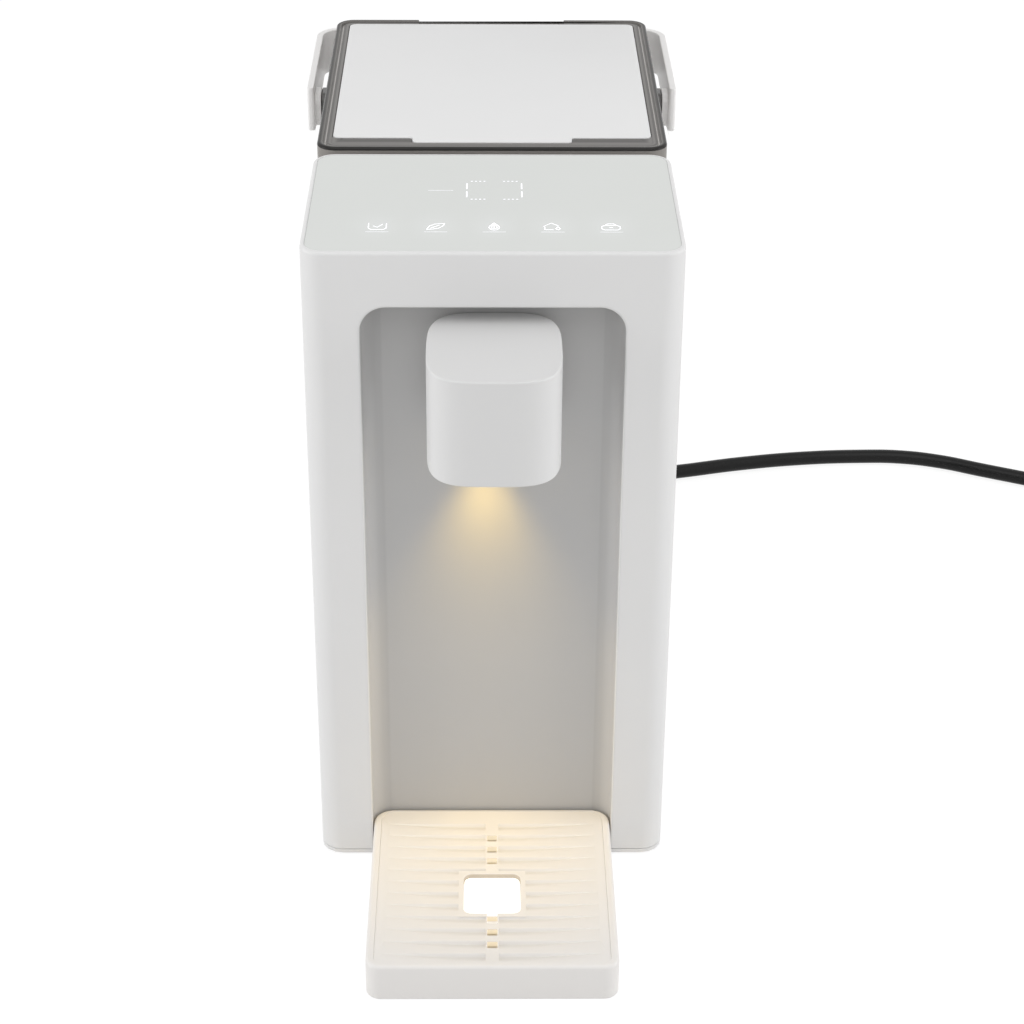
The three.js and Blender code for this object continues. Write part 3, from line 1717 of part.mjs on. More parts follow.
function cordBush() {
  const wallInside = dockBack - dock.wall;
  const inner = cord.diameter / 2 + gap;
  const flangeFront = dockBack + gap;
  const profile = [
    [inner, wallInside - relief.flangeThickness - gap],
    [relief.flangeRadius, wallInside - relief.flangeThickness - gap],
    [relief.flangeRadius, wallInside - gap],
    [relief.neck, wallInside - gap],
    [relief.neck, flangeFront],
    [relief.flangeRadius, flangeFront],
    [relief.flangeRadius, flangeFront + relief.flangeThickness],
    [relief.bootRadius, flangeFront + relief.flangeThickness],
    [relief.tipRadius, bootBack],
    [inner, bootBack],
    [inner, wallInside - relief.flangeThickness - gap],
  ];
  const geometry = turned(profile, 0, 0, smallSides);
  geometry.rotateX(-Math.PI / 2);
  geometry.translate(exitAxis[0], 0, exitAxis[1]);
  return asSolid(geometry);
}

place('cord_bush', cordBush(), paint.rubberBlack);

function freeCord() {
  const points = [];
  for (let i = 0; i < cord.sides; i += 1) {
    const a = (i / cord.sides) * Math.PI * 2;
    points.push(new THREE.Vector2((cord.diameter / 2) * Math.cos(a), (cord.diameter / 2) * Math.sin(a)));
  }
  const path = new THREE.CatmullRomCurve3(cordRoute.map((p) => new THREE.Vector3(...p)));
  const shape = new THREE.Shape(points);
  const steps = cord.steps;
  return {
    solid: asSolid(new THREE.ExtrudeGeometry(shape, { steps, extrudePath: path, bevelEnabled: false })),
    length: path.getLength(),
  };
}

const cordMade = freeCord();
place('power_cord', cordMade.solid, paint.rubberBlack);

// The coil starts where the free cord ends and keeps its direction: it spirals in on the floor,
// climbs one layer and spirals out again, then runs straight to the plug
function coilPoints() {
  const lastPoint = new THREE.Vector3(...cordRoute[cordRoute.length - 1]);
  const before = new THREE.Vector3(...cordRoute[cordRoute.length - 2]);
  const heading = lastPoint.clone().sub(before).setZ(0).normalize();
  const start = lastPoint.clone().addScaledVector(heading, gap);
  const turnIn = start.clone().addScaledVector(heading, cord.diameter);
  const toCentre = new THREE.Vector3(-heading.y, heading.x, 0);
  const centre = turnIn.clone().addScaledVector(toCentre, coil.outerRadius);
  const startAngle = Math.atan2(turnIn.y - centre.y, turnIn.x - centre.x);
  const turns = coilSpiralTurns * 2 + coilClimbTurns;
  const steps = Math.round(turns * coilTurnSteps);
  const points = [start];
  for (let i = 0; i <= steps; i += 1) {
    const turn = (i / steps) * turns;
    const inward = Math.min(turn, turns - turn);
    const climbed = Math.min(Math.max((turn - coilSpiralTurns) / coilClimbTurns, 0), 1);
    const radius = coil.outerRadius - coil.pitch * inward;
    const a = startAngle + turn * Math.PI * 2;
    const z = start.z + coil.layerRise * climbed;
    points.push(new THREE.Vector3(centre.x + radius * Math.cos(a), centre.y + radius * Math.sin(a), z));
  }
  const end = points[points.length - 1];
  const away = new THREE.Vector3(heading.x, heading.y, 0);
  points.push(end.clone().addScaledVector(away, cord.diameter));
  points.push(end.clone().addScaledVector(away, cord.tail - cord.diameter));
  points.push(end.clone().addScaledVector(away, cord.tail));
  return { points, heading: away, centre };
}

const coilMade = coilPoints();
console.log('least gap of cord_coil to itself, mm:', leastGap(coilMade.points, cord.diameter).toFixed(2));
place('cord_coil', asSolid(tubeThrough(coilMade.points, cord.diameter / 2, coilSides)), paint.rubberBlack);

let coilLength = 0;
coilMade.points.forEach((point, i) => {
  coilLength += i > 0 ? point.distanceTo(coilMade.points[i - 1]) : 0;
});
console.log('cord length, mm:', (cordMade.length + coilLength).toFixed(0));

// Plug along +X at the origin, then turned to the coil's end direction
function plugPieces() {
  const end = coilMade.points[coilMade.points.length - 1];
  const angle = Math.atan2(coilMade.heading.y, coilMade.heading.x);
  const settle = (solidGeometry) => {
    solidGeometry.rotateZ(angle);
    solidGeometry.translate(end.x, end.y, end.z);
    return asSolid(solidGeometry);
  };
  const section = (halfW) => roundedRect(
    halfW,
    -end.z,
    end.z,
    plug.cornerRadius,
    plug.cornerRadius,
  );
  const rings = [
    { outline: section(plug.noseHalfWidth), z: gap },
    { outline: section(plug.halfWidth), z: gap + plug.noseLength },
    { outline: section(plug.halfWidth), z: gap + plug.length },
  ];
  const bodyShape = loft(rings);
  bodyShape.rotateX(Math.PI / 2);
  bodyShape.rotateZ(Math.PI / 2);
  const face = gap + plug.length;
  const body = settle(bodyShape);
  const pins = [];
  const sockets = [];
  for (const side of [-1, 1]) {
    const centre = [side * (plug.pinSpacing / 2), 0];
    const from = face - plug.pinSocket;
    pins.push(settle(cylinder('x', plug.pinRadius, from, face + plug.pinLength, centre, smallSides)));
    const room = clearRadius(plug.pinRadius, smallSides);
    sockets.push(settle(cylinder('x', room, from - gap, face + cutPast, centre, smallSides)));
  }
  return { body: cut(body, ...sockets), pins };
}

const plugMade = plugPieces();
place('mains_plug', plugMade.body, paint.rubberBlack);
place('plug_pin_left', plugMade.pins[1], paint.brass);
place('plug_pin_right', plugMade.pins[0], paint.brass);

// Origin on the floor, under the centre of the machine's own outline
machine.position.y = -(trayFront + handleBack) / 2;
const group = new THREE.Group();
group.add(machine);
group.updateMatrixWorld(true);

export default group;
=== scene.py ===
import json
import math

import bmesh
import bpy
from mathutils import Matrix, Vector


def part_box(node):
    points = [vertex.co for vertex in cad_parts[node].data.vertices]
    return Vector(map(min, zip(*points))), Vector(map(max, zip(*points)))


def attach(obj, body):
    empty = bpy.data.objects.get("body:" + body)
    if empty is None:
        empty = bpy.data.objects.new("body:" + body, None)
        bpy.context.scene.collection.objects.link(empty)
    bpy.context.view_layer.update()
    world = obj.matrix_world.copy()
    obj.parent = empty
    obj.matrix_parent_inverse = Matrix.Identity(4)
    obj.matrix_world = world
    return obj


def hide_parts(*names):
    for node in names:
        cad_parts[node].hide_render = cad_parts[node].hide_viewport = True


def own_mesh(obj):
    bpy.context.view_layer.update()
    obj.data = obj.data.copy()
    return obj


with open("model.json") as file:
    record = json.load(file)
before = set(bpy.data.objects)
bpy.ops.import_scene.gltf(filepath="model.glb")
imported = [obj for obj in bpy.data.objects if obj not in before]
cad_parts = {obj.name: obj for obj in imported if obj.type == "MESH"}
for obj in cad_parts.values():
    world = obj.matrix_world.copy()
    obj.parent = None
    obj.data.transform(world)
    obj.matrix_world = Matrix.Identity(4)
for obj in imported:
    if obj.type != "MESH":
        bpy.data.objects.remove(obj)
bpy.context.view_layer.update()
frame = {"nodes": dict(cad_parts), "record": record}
nodes = frame["nodes"]
mm = 0.001
smallGap = 0.3
past = 2.0
farOut, farUp = 90.0, 40.0  # cutters that pass right through a piece end here
weld = 0.0005
black = (0, 0, 0, 1)
acrylicRefraction = 1.49
cornerSteps = 12
roundSides = 72
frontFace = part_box("column_housing")[0].y
toFrame = Matrix.Translation((0, frontFace, 0)) @ Matrix.Scale(mm, 4)
print("frame loaded:", len(nodes), "nodes")

# All sizes below are millimetres, with Y measured back from the column's front face


def span(node):
    low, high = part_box(node)
    back = toFrame.inverted()
    return back @ low, back @ high


def centreOf(node):
    low, high = span(node)
    return (low + high) / 2


def newPiece(name, data):
    piece = bpy.data.objects.new(name, data)
    bpy.context.scene.collection.objects.link(piece)
    return piece


# Camera, solved from the photograph
camera = {
    "place": (-2.9, -830.7, 633.5),
    "yaw": 0.73,
    "pitch": 29.28,
    "roll": -0.37,
    "focalPixels": 2420,
    "framePixels": 1024,
    "sensor": 36.0,
    "near": 10,
    "far": 30000,
}


def makeCamera():
    yaw, pitch, roll = (math.radians(camera[k]) for k in ("yaw", "pitch", "roll"))
    level = math.cos(pitch)
    forward = Vector((math.sin(yaw) * level, math.cos(yaw) * level, -math.sin(pitch)))
    flat = Vector((math.cos(yaw), -math.sin(yaw), 0))
    down = forward.cross(flat)
    right = math.cos(roll) * flat + math.sin(roll) * down
    under = math.cos(roll) * down - math.sin(roll) * flat
    lens = bpy.data.cameras.new("camera")
    lens.sensor_width = camera["sensor"]
    lens.lens = camera["focalPixels"] * camera["sensor"] / camera["framePixels"]
    lens.clip_start, lens.clip_end = camera["near"] * mm, camera["far"] * mm
    view = newPiece("camera", lens)
    turn = Matrix((right, -under, -forward)).transposed().to_4x4()
    view.matrix_world = Matrix.Translation(toFrame @ Vector(camera["place"])) @ turn
    bpy.context.scene.camera = view


makeCamera()
print("camera set")


# Wires join nodes: sums and products on a wire add the Math nodes for them
class Wire:
    def __init__(self, tree, socket):
        self.tree, self.socket = tree, socket

    def maths(self, operation, *others):
        return self.tree.maths(operation, self, *others)

    def operator(operation, swapped=False):
        def apply(self, *others):
            return self.tree.maths(operation, *((*others, self) if swapped else (self, *others)))
        return apply

    __add__, __radd__ = operator("ADD"), operator("ADD", True)
    __sub__, __rsub__ = operator("SUBTRACT"), operator("SUBTRACT", True)
    __mul__, __rmul__ = operator("MULTIPLY"), operator("MULTIPLY", True)
    __truediv__, __rtruediv__ = operator("DIVIDE"), operator("DIVIDE", True)
    __pow__, __rpow__ = operator("POWER"), operator("POWER", True)
    __lt__, __gt__ = operator("LESS_THAN"), operator("GREATER_THAN")
    __abs__ = operator("ABSOLUTE")

    def __neg__(self):
        return self * -1.0


class Tree:
    def __init__(self, tree):
        self.tree = tree

    def add(self, kind, settings=None, inputs=None, out=0):
        node = self.tree.nodes.new(kind)
        for key, value in (settings or {}).items():
            if key == "stops":
                ramp = node.color_ramp.elements
                while len(ramp) < len(value):
                    ramp.new(0.5)
                for element, (position, colour) in zip(ramp, value):
                    element.position, element.color = position, colour
            else:
                setattr(node, key, value)
        for key, value in (inputs or {}).items():
            self.feed(node.inputs[key], value)
        return Wire(self, node.outputs[out])

    def feed(self, socket, value):
        if isinstance(value, Wire):
            self.tree.links.new(value.socket, socket)
        else:
            socket.default_value = value

    def maths(self, operation, *values):
        return self.add("ShaderNodeMath", {"operation": operation}, dict(enumerate(values)))

    def split(self, vector):
        wire = self.add("ShaderNodeSeparateXYZ", None, {"Vector": vector})
        return [Wire(self, socket) for socket in wire.socket.node.outputs]


class Finish(Tree):
    def __init__(self, name):
        self.material = bpy.data.materials.new(name)
        self.material.use_nodes = True
        super().__init__(self.material.node_tree)
        self.shader = self.tree.nodes["Principled BSDF"]
        self.place = self.add("ShaderNodeTexCoord", out="Object")

    def noise(self, size, detail=2.0, stretch=None):
        vector = self.place
        if stretch:
            vector = self.add("ShaderNodeMapping", None, {"Vector": vector, "Scale": stretch})
        inputs = {"Vector": vector, "Scale": 1 / (size * mm), "Detail": detail}
        return self.add("ShaderNodeTexNoise", None, inputs, out="Fac")

    def blend(self, share, first, second):
        settings = {"data_type": "RGBA", "clamp_factor": True}
        return self.add("ShaderNodeMix", settings, {0: share, 6: first, 7: second}, out=2)

    def shades(self, share, colour, darker, lighter):
        return self.blend(share, tinted(colour, darker), tinted(colour, lighter))

    def clouds(self, colour):
        return self.shades(self.noise(plastic["cloudSize"], 3.0), colour, *plastic["cloudShades"])

    def bump(self, height, depth):
        inputs = {"Height": height, "Strength": 1.0, "Distance": depth * mm}
        return self.add("ShaderNodeBump", None, inputs)

    def set(self, **sockets):
        for name, value in sockets.items():
            self.feed(self.shader.inputs[name.replace("_", " ")], value)
        return self.material

    def moulded(self, shade, roughness, worn=True, **more):
        # Plastic from a mould: fine grain, and gloss that wear changes in soft patches
        speckle = self.noise(plastic["grain"])
        rough = roughness + (speckle - 0.5) * plastic["grainGloss"]
        if worn:
            rough += (self.noise(plastic["wearSize"], 4.0) - 0.5) * plastic["wearGloss"]
        bump = self.bump(speckle, plastic["grainDepth"])
        return self.set(Base_Color=shade, Roughness=rough, Normal=bump, IOR=plastic["refraction"], **more)


def plainMesh(piece):
    # What a curve or the modifiers make, as a mesh
    bpy.context.view_layer.update()
    graph = bpy.context.evaluated_depsgraph_get()
    return bpy.data.meshes.new_from_object(piece.evaluated_get(graph), depsgraph=graph)


class Grower(Tree):
    # A geometry tree with named sizes. grow() turns what it makes into a plain mesh
    def __init__(self, name, sizes):
        super().__init__(bpy.data.node_groups.new(name, "GeometryNodeTree"))
        socket = self.tree.interface.new_socket
        socket("Geometry", in_out="INPUT", socket_type="NodeSocketGeometry")
        self.values = {}
        for key, value in sizes.items():
            kind = "NodeSocketInt" if isinstance(value, int) else "NodeSocketFloat"
            self.values[socket(key, in_out="INPUT", socket_type=kind).identifier] = value
        socket("Geometry", in_out="OUTPUT", socket_type="NodeSocketGeometry")
        self.given = self.tree.nodes.new("NodeGroupInput")

    def size(self, key):
        return Wire(self, self.given.outputs[key])

    def vector(self, x, y, z):
        return self.add("ShaderNodeCombineXYZ", None, {"X": x, "Y": y, "Z": z})

    def scatter(self, points, instance, **more):
        inputs = {"Points": points, "Instance": instance, **more}
        return self.add("GeometryNodeInstanceOnPoints", None, inputs)

    def press(self, geometry, *place):
        # Moves each point of the geometry to a new place
        inputs = {"Geometry": geometry, "Position": self.vector(*place)}
        return self.add("GeometryNodeSetPosition", None, inputs)

    def grow(self, geometry, finish, start=None):
        real = self.add("GeometryNodeRealizeInstances", None, {"Geometry": geometry})
        dressed = self.add("GeometryNodeSetMaterial", None, {"Geometry": real, "Material": finish})
        end = self.tree.nodes.new("NodeGroupOutput")
        self.tree.links.new(dressed.socket, end.inputs["Geometry"])
        piece = newPiece(self.tree.name, start or bpy.data.meshes.new(self.tree.name))
        modifier = piece.modifiers.new("grow", "NODES")
        modifier.node_group = self.tree
        for identifier, value in self.values.items():
            modifier[identifier] = value
        return settle(piece)


def settle(piece):
    mesh = plainMesh(piece)
    piece.modifiers.clear()
    piece.data = mesh
    return piece


# Shapes
def path(corners):
    # Closed outline through corners (x, y, radius), each rounded by its own radius
    points = []
    for number, (x, y, radius) in enumerate(corners):
        if not radius:
            points += [(x, y)] * (cornerSteps + 1)
            continue
        here = Vector((x, y))
        back = (Vector(corners[number - 1][:2]) - here).normalized()
        on = (Vector(corners[(number + 1) % len(corners)][:2]) - here).normalized()
        half = back.angle(on) / 2
        reach = radius / math.tan(half)
        centre = here + (back + on).normalized() * (radius / math.sin(half))
        first, last = ((here + way * reach - centre).normalized() for way in (back, on))
        turns = [first.slerp(last, i / cornerSteps) for i in range(cornerSteps + 1)]
        points += [tuple(centre + turn * radius) for turn in turns]
    return points


def rectangle(low, high, radii=0.0, grow=0.0):
    # Radii run rear right, rear left, front left, front right
    x0, y0, x1, y1 = low[0] - grow, low[1] - grow, high[0] + grow, high[1] + grow
    places = ((x1, y1), (x0, y1), (x0, y0), (x1, y0))
    radii = radii if isinstance(radii, tuple) else (radii,) * 4
    return path([(*place, max(r + grow, 0) if r > 0 else 0) for place, r in zip(places, radii)])


def stack(low, high, radii, *levels):
    # Rings of one rectangle: each level gives how much it grows, and its height
    return [(rectangle(low, high, radii, grow), z) for grow, z in levels]


def circle(radius, centre=(0, 0), sides=roundSides):
    turns = [2 * math.pi * i / sides for i in range(sides)]
    return [(centre[0] + radius * math.cos(a), centre[1] + radius * math.sin(a)) for a in turns]


def skin(name, rings, loop=False):
    # Skins rings of points one after the other. The ends are capped, or joined in a loop
    mesh = bpy.data.meshes.new(name)
    shape = bmesh.new()
    made = [[shape.verts.new(p) for p in ring] for ring in rings]
    for below, above in zip(made, made[1:] + (made[:1] if loop else [])):
        for i in range(len(below)):
            j = (i + 1) % len(below)
            shape.faces.new((below[i], below[j], above[j], above[i]))
    for end in () if loop else (made[0], made[-1]):
        shape.faces.new(end)
    bmesh.ops.remove_doubles(shape, verts=shape.verts, dist=weld)
    bmesh.ops.recalc_face_normals(shape, faces=shape.faces)
    shape.to_mesh(mesh)
    shape.free()
    return newPiece(name, mesh)


def loft(name, rings, axis="z", loop=False):
    turn = {"x": lambda p, h: (h, *p), "y": lambda p, h: (p[0], h, p[1]), "z": lambda p, h: (*p, h)}[axis]
    return skin(name, [[turn(p, height) for p in points] for points, height in rings], loop)


def block(name, low, high, radii=0.0, axis="z"):
    # Prism with its corners rounded across the axis
    order = {"z": (0, 1, 2), "y": (0, 2, 1), "x": (1, 2, 0)}[axis]
    a, b = [low[i] for i in order], [high[i] for i in order]
    return loft(name, [(rectangle(a, b, radii), z) for z in (a[2], b[2])], axis)


def quarter(steps):
    # Round a quarter of a circle of radius 1: what is left to go one way, what is done the other way
    turns = [math.pi / 2 * i / steps for i in range(steps + 1)]
    return [(1 - math.sin(a), 1 - math.cos(a)) for a in turns]


def edgeRings(low, high, radii, bottom, top, lower=0.0, upper=0.0, steps=5):
    # Rings up a prism whose bottom and top edges are rounded
    foot = [(-lower * a, bottom + lower * b) for a, b in quarter(steps)] if lower else [(0, bottom)]
    head = [(-upper * a, top - upper * b) for a, b in quarter(steps)[::-1]] if upper else [(0, top)]
    return stack(low, high, radii, *foot, *head)


def turned(name, profile, centre=(0, 0), axis="z", sides=roundSides, loop=False):
    return loft(name, [(circle(max(r, 0.0001), centre, sides), h) for r, h in profile], axis, loop)


def rod(name, radius, start, end, centre=(0, 0), axis="z"):
    return turned(name, [(radius, start), (radius, end)], centre, axis)


def carve(piece, *tools, operation="DIFFERENCE"):
    for tool in tools:
        modifier = piece.modifiers.new("carve", "BOOLEAN")
        modifier.object, modifier.operation, modifier.solver = tool, operation, "EXACT"
    settle(piece)
    for tool in tools:
        bpy.data.objects.remove(tool)
    return piece


def smoothLine(points, steps):
    # Centripetal Catmull-Rom line through the points, by Barry and Goldman's pyramid
    points = [Vector(p) for p in points]
    ends = [2 * points[0] - points[1], *points, 2 * points[-1] - points[-2]]
    pyramid = (((0, 1), (1, 2), (2, 3)), ((0, 2), (1, 3)), ((1, 2),))
    line = [points[0]]
    for four in zip(ends, ends[1:], ends[2:], ends[3:]):
        knots = [0.0]
        for first, second in zip(four, four[1:]):
            knots.append(knots[-1] + math.sqrt((second - first).length))
        for step in range(1, steps + 1):
            t = knots[1] + (knots[2] - knots[1]) * step / steps
            layer = four
            for spans in pyramid:
                shares = [(t - knots[a]) / (knots[b] - knots[a]) for a, b in spans]
                layer = [p * (1 - s) + q * s for p, q, s in zip(layer, layer[1:], shares)]
            line.append(layer[0])
    return line


def tube(name, line, radius, bore=0.0, sides=16):
    # Round tube along a line of points, hollow where a bore is given
    def rings(size):
        made, side = [], None
        for number, point in enumerate(line):
            along = (line[min(number + 1, len(line) - 1)] - line[max(number - 1, 0)]).normalized()
            side = along.orthogonal() if side is None else side - along * side.dot(along)
            side.normalize()
            rise = along.cross(side)
            made.append([point + a * side + b * rise for a, b in circle(size, sides=sides)])
        return made
    return skin(name, rings(radius) + (rings(bore)[::-1] if bore else []), loop=bore > 0)


def dress(piece, body, slot, *replaced, finish=None, bevel=0.0, segments=3, angle=35):
    # Moves a piece from millimetres to the frame, finishes its edges and hands it to its body
    piece.data.transform(toFrame)
    piece.data.materials.clear()
    piece.data.materials.append(finish or finishes[slot])
    piece.data.shade_smooth()
    if bevel:
        edges = piece.modifiers.new("edges", "BEVEL")
        edges.width, edges.segments = bevel * mm, segments
        edges.limit_method, edges.angle_limit = "ANGLE", math.radians(angle)
        edges.use_clamp_overlap = False
        piece.modifiers.new("normals", "WEIGHTED_NORMAL").keep_sharp = True
    else:
        piece.data.set_sharp_from_angle(angle=math.radians(angle))
    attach(piece, body)
    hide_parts(*replaced)
    return piece


# Finishes
def grey(level, warmth=0.0):
    return (level * (1 + warmth), level, level * (1 - warmth), 1.0)


def tinted(colour, factor):
    return tuple(min(c * factor, 1.0) for c in colour[:3]) + (1.0,)
plastic = {
    "grain": 0.5,
    "grainDepth": 0.004,
    "grainGloss": 0.08,
    "wearSize": 6,
    "wearGloss": 0.06,
    "cloudSize": 40,
    "cloudShades": (0.988, 1.012),
    "refraction": 1.5,
}


def mouldedPlastic(name, colour, roughness):
    finish = Finish(name)
    return finish.moulded(finish.clouds(colour), roughness)


def rubber(name, colour, roughness=0.5, grain=0.6, shine=0.4):
    finish = Finish(name)
    speckle = finish.noise(grain, 3.0)
    return finish.set(
        Base_Color=finish.shades(speckle, colour, 0.85, 1.2),
        Roughness=roughness + (speckle - 0.5) * 0.15,
        Normal=finish.bump(speckle, 0.012),
        Specular_IOR_Level=shine,
    )


def metal(name, colour, roughness=0.28, stretch=(1.0, 1.0, 12.0)):
    finish = Finish(name)
    lines = finish.noise(0.8, 3.0, stretch)
    return finish.set(
        Base_Color=finish.shades(lines, colour, 0.9, 1.06),
        Roughness=roughness + (lines - 0.5) * 0.2,
        Normal=finish.bump(lines, 0.004),
        Metallic=1.0,
    )


def circuitBoard(name):
    finish = Finish(name)
    inputs = {"Vector": finish.place, "Scale": 120.0, "Mortar Size": 0.03}
    tracks = finish.add("ShaderNodeTexBrick", {"offset": 0.35}, inputs, out="Fac")
    return finish.set(
        Base_Color=finish.blend(tracks, (0.012, 0.09, 0.035, 1), (0.06, 0.2, 0.08, 1)),
        Roughness=0.3 + tracks * 0.15,
        Normal=finish.bump(tracks, 0.03),
    )


def glowing(name, colour, strength):
    finish = Finish(name)
    cloud = finish.noise(3)
    return finish.set(
        Base_Color=finish.shades(cloud, colour, 0.9, 1.0),
        Emission_Color=finish.shades(cloud, colour, 0.92, 1.0),
        Emission_Strength=strength,
        Roughness=0.3 + cloud * 0.1,
    )


plastics = {
    "shell_white": ("shellWhite", grey(0.78, 0.002), 0.4),
    "spout_white": ("spoutWhite", grey(0.74, 0.002), 0.4),
    "lid_white": ("lidWhite", grey(0.84), 0.5),
    "handle_white": ("handleWhite", grey(0.87, 0.012), 0.4),
    "boss_grey": ("bossGrey", grey(0.09, 0.03), 0.18),
    "plastic_dark": ("plasticDark", grey(0.035), 0.45),
    "plastic_natural": ("plasticNatural", grey(0.6, 0.06), 0.45),
    "relay_blue": ("relayBlue", (0.02, 0.09, 0.3, 1), 0.3),
}


finishes = {
    **{slot: mouldedPlastic(*values) for slot, values in plastics.items()},
    "rubber_black": rubber("rubberBlack", grey(0.03)),
    "cord_black": rubber("cordBlack", grey(0.006), 0.3, 0.9, 0.22),
    "silicone": rubber("silicone", grey(0.62, 0.05), 0.45),
    "steel": metal("stainlessSteel", grey(0.55)),
    "brass": metal("brassPins", (0.72, 0.52, 0.2, 1), 0.22, (1.0, 1.0, 1.0)),
    "aluminium": metal("aluminium", grey(0.7), 0.35),
    "board_green": circuitBoard("circuitBoard"),
    "light_lens": glowing("lightLens", (1.0, 0.8, 0.42, 1), 6.0),
}

# Top plate with its lit signs
panel = {
    "edge": 0.12,
    "gap": 0.03,
    "colour": (0.716, 0.735, 0.714, 1),
    "gloss": 0.13,
    "signX": -43.9,
    "signPitch": 22.22,
    "signY": 25.6,
    "signWidth": 6.8,
    "signHeight": 8.4,
    "signLimit": 56.0,
    "glowRadius": (7.5, 9.75),
    "glowColour": (0.86, 0.86, 1.0, 1),
    "glowLevel": 0.035,
    "litColour": (0.95, 0.95, 1.0, 1),
    "signLight": 0.9,
    "barLight": 0.35,
    "stroke": 0.15,
    "captionStroke": 0.13,
    "rise": 0.035,
    "captionY": 20.3,
    "captionHalf": 4.4,
    "displayY": (53.2, 72.1),
    "displayX": ((-10.1, -3.2), (11.5, 4.6)),
    "cornerCut": 1.9,
    "sideInset": 5.2,
    "sideDash": (6.0, 0.6, 8.5),
    "endDash": (0.8, 0.7, 1.45),
    "statusBar": ((-25.4, 62.4), (-15.5, 62.4)),
}


def panelFinish():
    # White plate, lit faintly from below round each sign
    finish = Finish("panelWhite")
    x, y, z = finish.split(finish.place)
    haze = finish.noise(25, 3.0)
    wide, tall = (radius * mm for radius in panel["glowRadius"])
    across = (x - panel["signX"] * mm).maths("PINGPONG", panel["signPitch"] * mm / 2) / wide
    along = (y - (frontFace + panel["signY"] * mm)) / tall
    glow = math.e ** (-(across * across + along * along)) * (abs(x) < panel["signLimit"] * mm)
    return finish.set(
        Base_Color=finish.shades(haze, panel["colour"], 0.99, 1.01),
        Roughness=panel["gloss"] + haze * 0.05,
        Emission_Color=finish.blend(glow, black, panel["glowColour"]),
        Emission_Strength=panel["glowLevel"],
        Normal=finish.bump(finish.noise(18, 1.0), 0.004),
        IOR=plastic["refraction"],
    )


def controlPlate():
    low, high = span("control_panel")
    inset, edge = -column["rimInset"] - panel["gap"], panel["edge"]
    levels = ((inset, low.z), (inset, high.z - edge), (inset - edge, high.z))
    plate = loft("controlPlate", stack(*span("column_housing"), column["cornerRadius"], *levels))
    dress(plate, "machine", "panel_white", "control_panel", finish=panelFinish())


# Signs in a square of side 1 about the middle: bowl, leaf, drop, house and pot
signs = [
    [[(-0.5, 0.36), (-0.5, -0.2), (-0.36, -0.36), (0.36, -0.36), (0.5, -0.2), (0.5, 0.36)],
     [(-0.24, 0.06), (0.0, -0.1), (0.28, 0.26)]],
    [[(-0.5, -0.34), (-0.36, 0.06), (-0.08, 0.28), (0.3, 0.34), (0.5, 0.36), (0.4, 0.06), (0.16, -0.2),
      (-0.16, -0.3), (-0.5, -0.34)], [(-0.3, -0.2), (0.2, 0.16)]],
    [[(0, 0.42), (0.24, 0.08), (0.3, -0.14), (0.16, -0.36), (0, -0.42), (-0.16, -0.36), (-0.3, -0.14),
      (-0.24, 0.08), (0, 0.42)], [(0, 0.3), (0.14, 0.02), (0.16, -0.16), (0, -0.28), (-0.16, -0.16),
      (-0.14, 0.02), (0, 0.3)], [(0, 0.12), (0, -0.16)]],
    [[(-0.44, -0.36), (-0.44, 0.02), (-0.52, 0.02), (-0.06, 0.42), (0.34, 0.08)],
     [(-0.44, -0.36), (0.06, -0.36)],
     [(0.3, -0.02), (0.44, -0.24), (0.3, -0.38), (0.16, -0.24), (0.3, -0.02)]],
    [[(-0.36, 0.14), (-0.52, 0.0), (-0.52, -0.24), (-0.36, -0.38), (0.36, -0.38), (0.52, -0.24),
      (0.52, 0.0), (0.36, 0.14), (-0.36, 0.14)], [(-0.3, 0.2), (-0.16, 0.34), (0.16, 0.34), (0.3, 0.2)],
     [(-0.1, -0.1), (0.1, -0.1)]],
]


def litSigns():
    wide, tall, half, captionY = (panel[k] for k in ("signWidth", "signHeight", "captionHalf", "captionY"))
    drawn, bars = [], [panel["statusBar"]]
    for number, sign in enumerate(signs):
        x = panel["signX"] + number * panel["signPitch"]
        drawn += [[(x + a * wide, panel["signY"] + b * tall) for a, b in stroke] for stroke in sign]
        bars.append([(x - half, captionY), (x + half, captionY)])
    litLines("litSigns", drawn, panel["stroke"], panel["signLight"])
    litLines("litBars", bars, panel["captionStroke"], panel["barLight"])


def litLines(name, lines, stroke, strength):
    data = bpy.data.curves.new(name, "CURVE")
    data.dimensions, data.bevel_depth, data.bevel_resolution, data.use_fill_caps = "3D", stroke, 2, True
    for line in lines:
        spline = data.splines.new("POLY")
        spline.points.add(len(line) - 1)
        for point, place in zip(spline.points, line):
            point.co = (*place, 0, 1)
    drawn = newPiece(name + "Lines", data)
    piece = newPiece(name, plainMesh(drawn))
    bpy.data.objects.remove(drawn)
    flat = Matrix.Diagonal((1, 1, panel["rise"] / stroke, 1))
    piece.data.transform(Matrix.Translation((0, 0, span("control_panel")[1].z)) @ flat)
    lit = glowing(name + "White", panel["litColour"], strength)
    dress(piece, "machine", "panel_white", finish=lit, angle=80)


def displayLines():
    # Two brackets: (outer x, inner x) and the front and rear line of each
    front, rear = panel["displayY"]
    sides, ends = [], []
    for outer, inner in panel["displayX"]:
        cut = math.copysign(panel["cornerCut"], inner - outer)
        sides.append(((outer, front + panel["sideInset"]), (outer, rear - panel["sideInset"])))
        ends += [((outer + cut, y), (inner, y)) for y in panel["displayY"]]
    displayDashes("sideDashes", sides, panel["sideDash"])
    displayDashes("endDashes", ends, panel["endDash"])


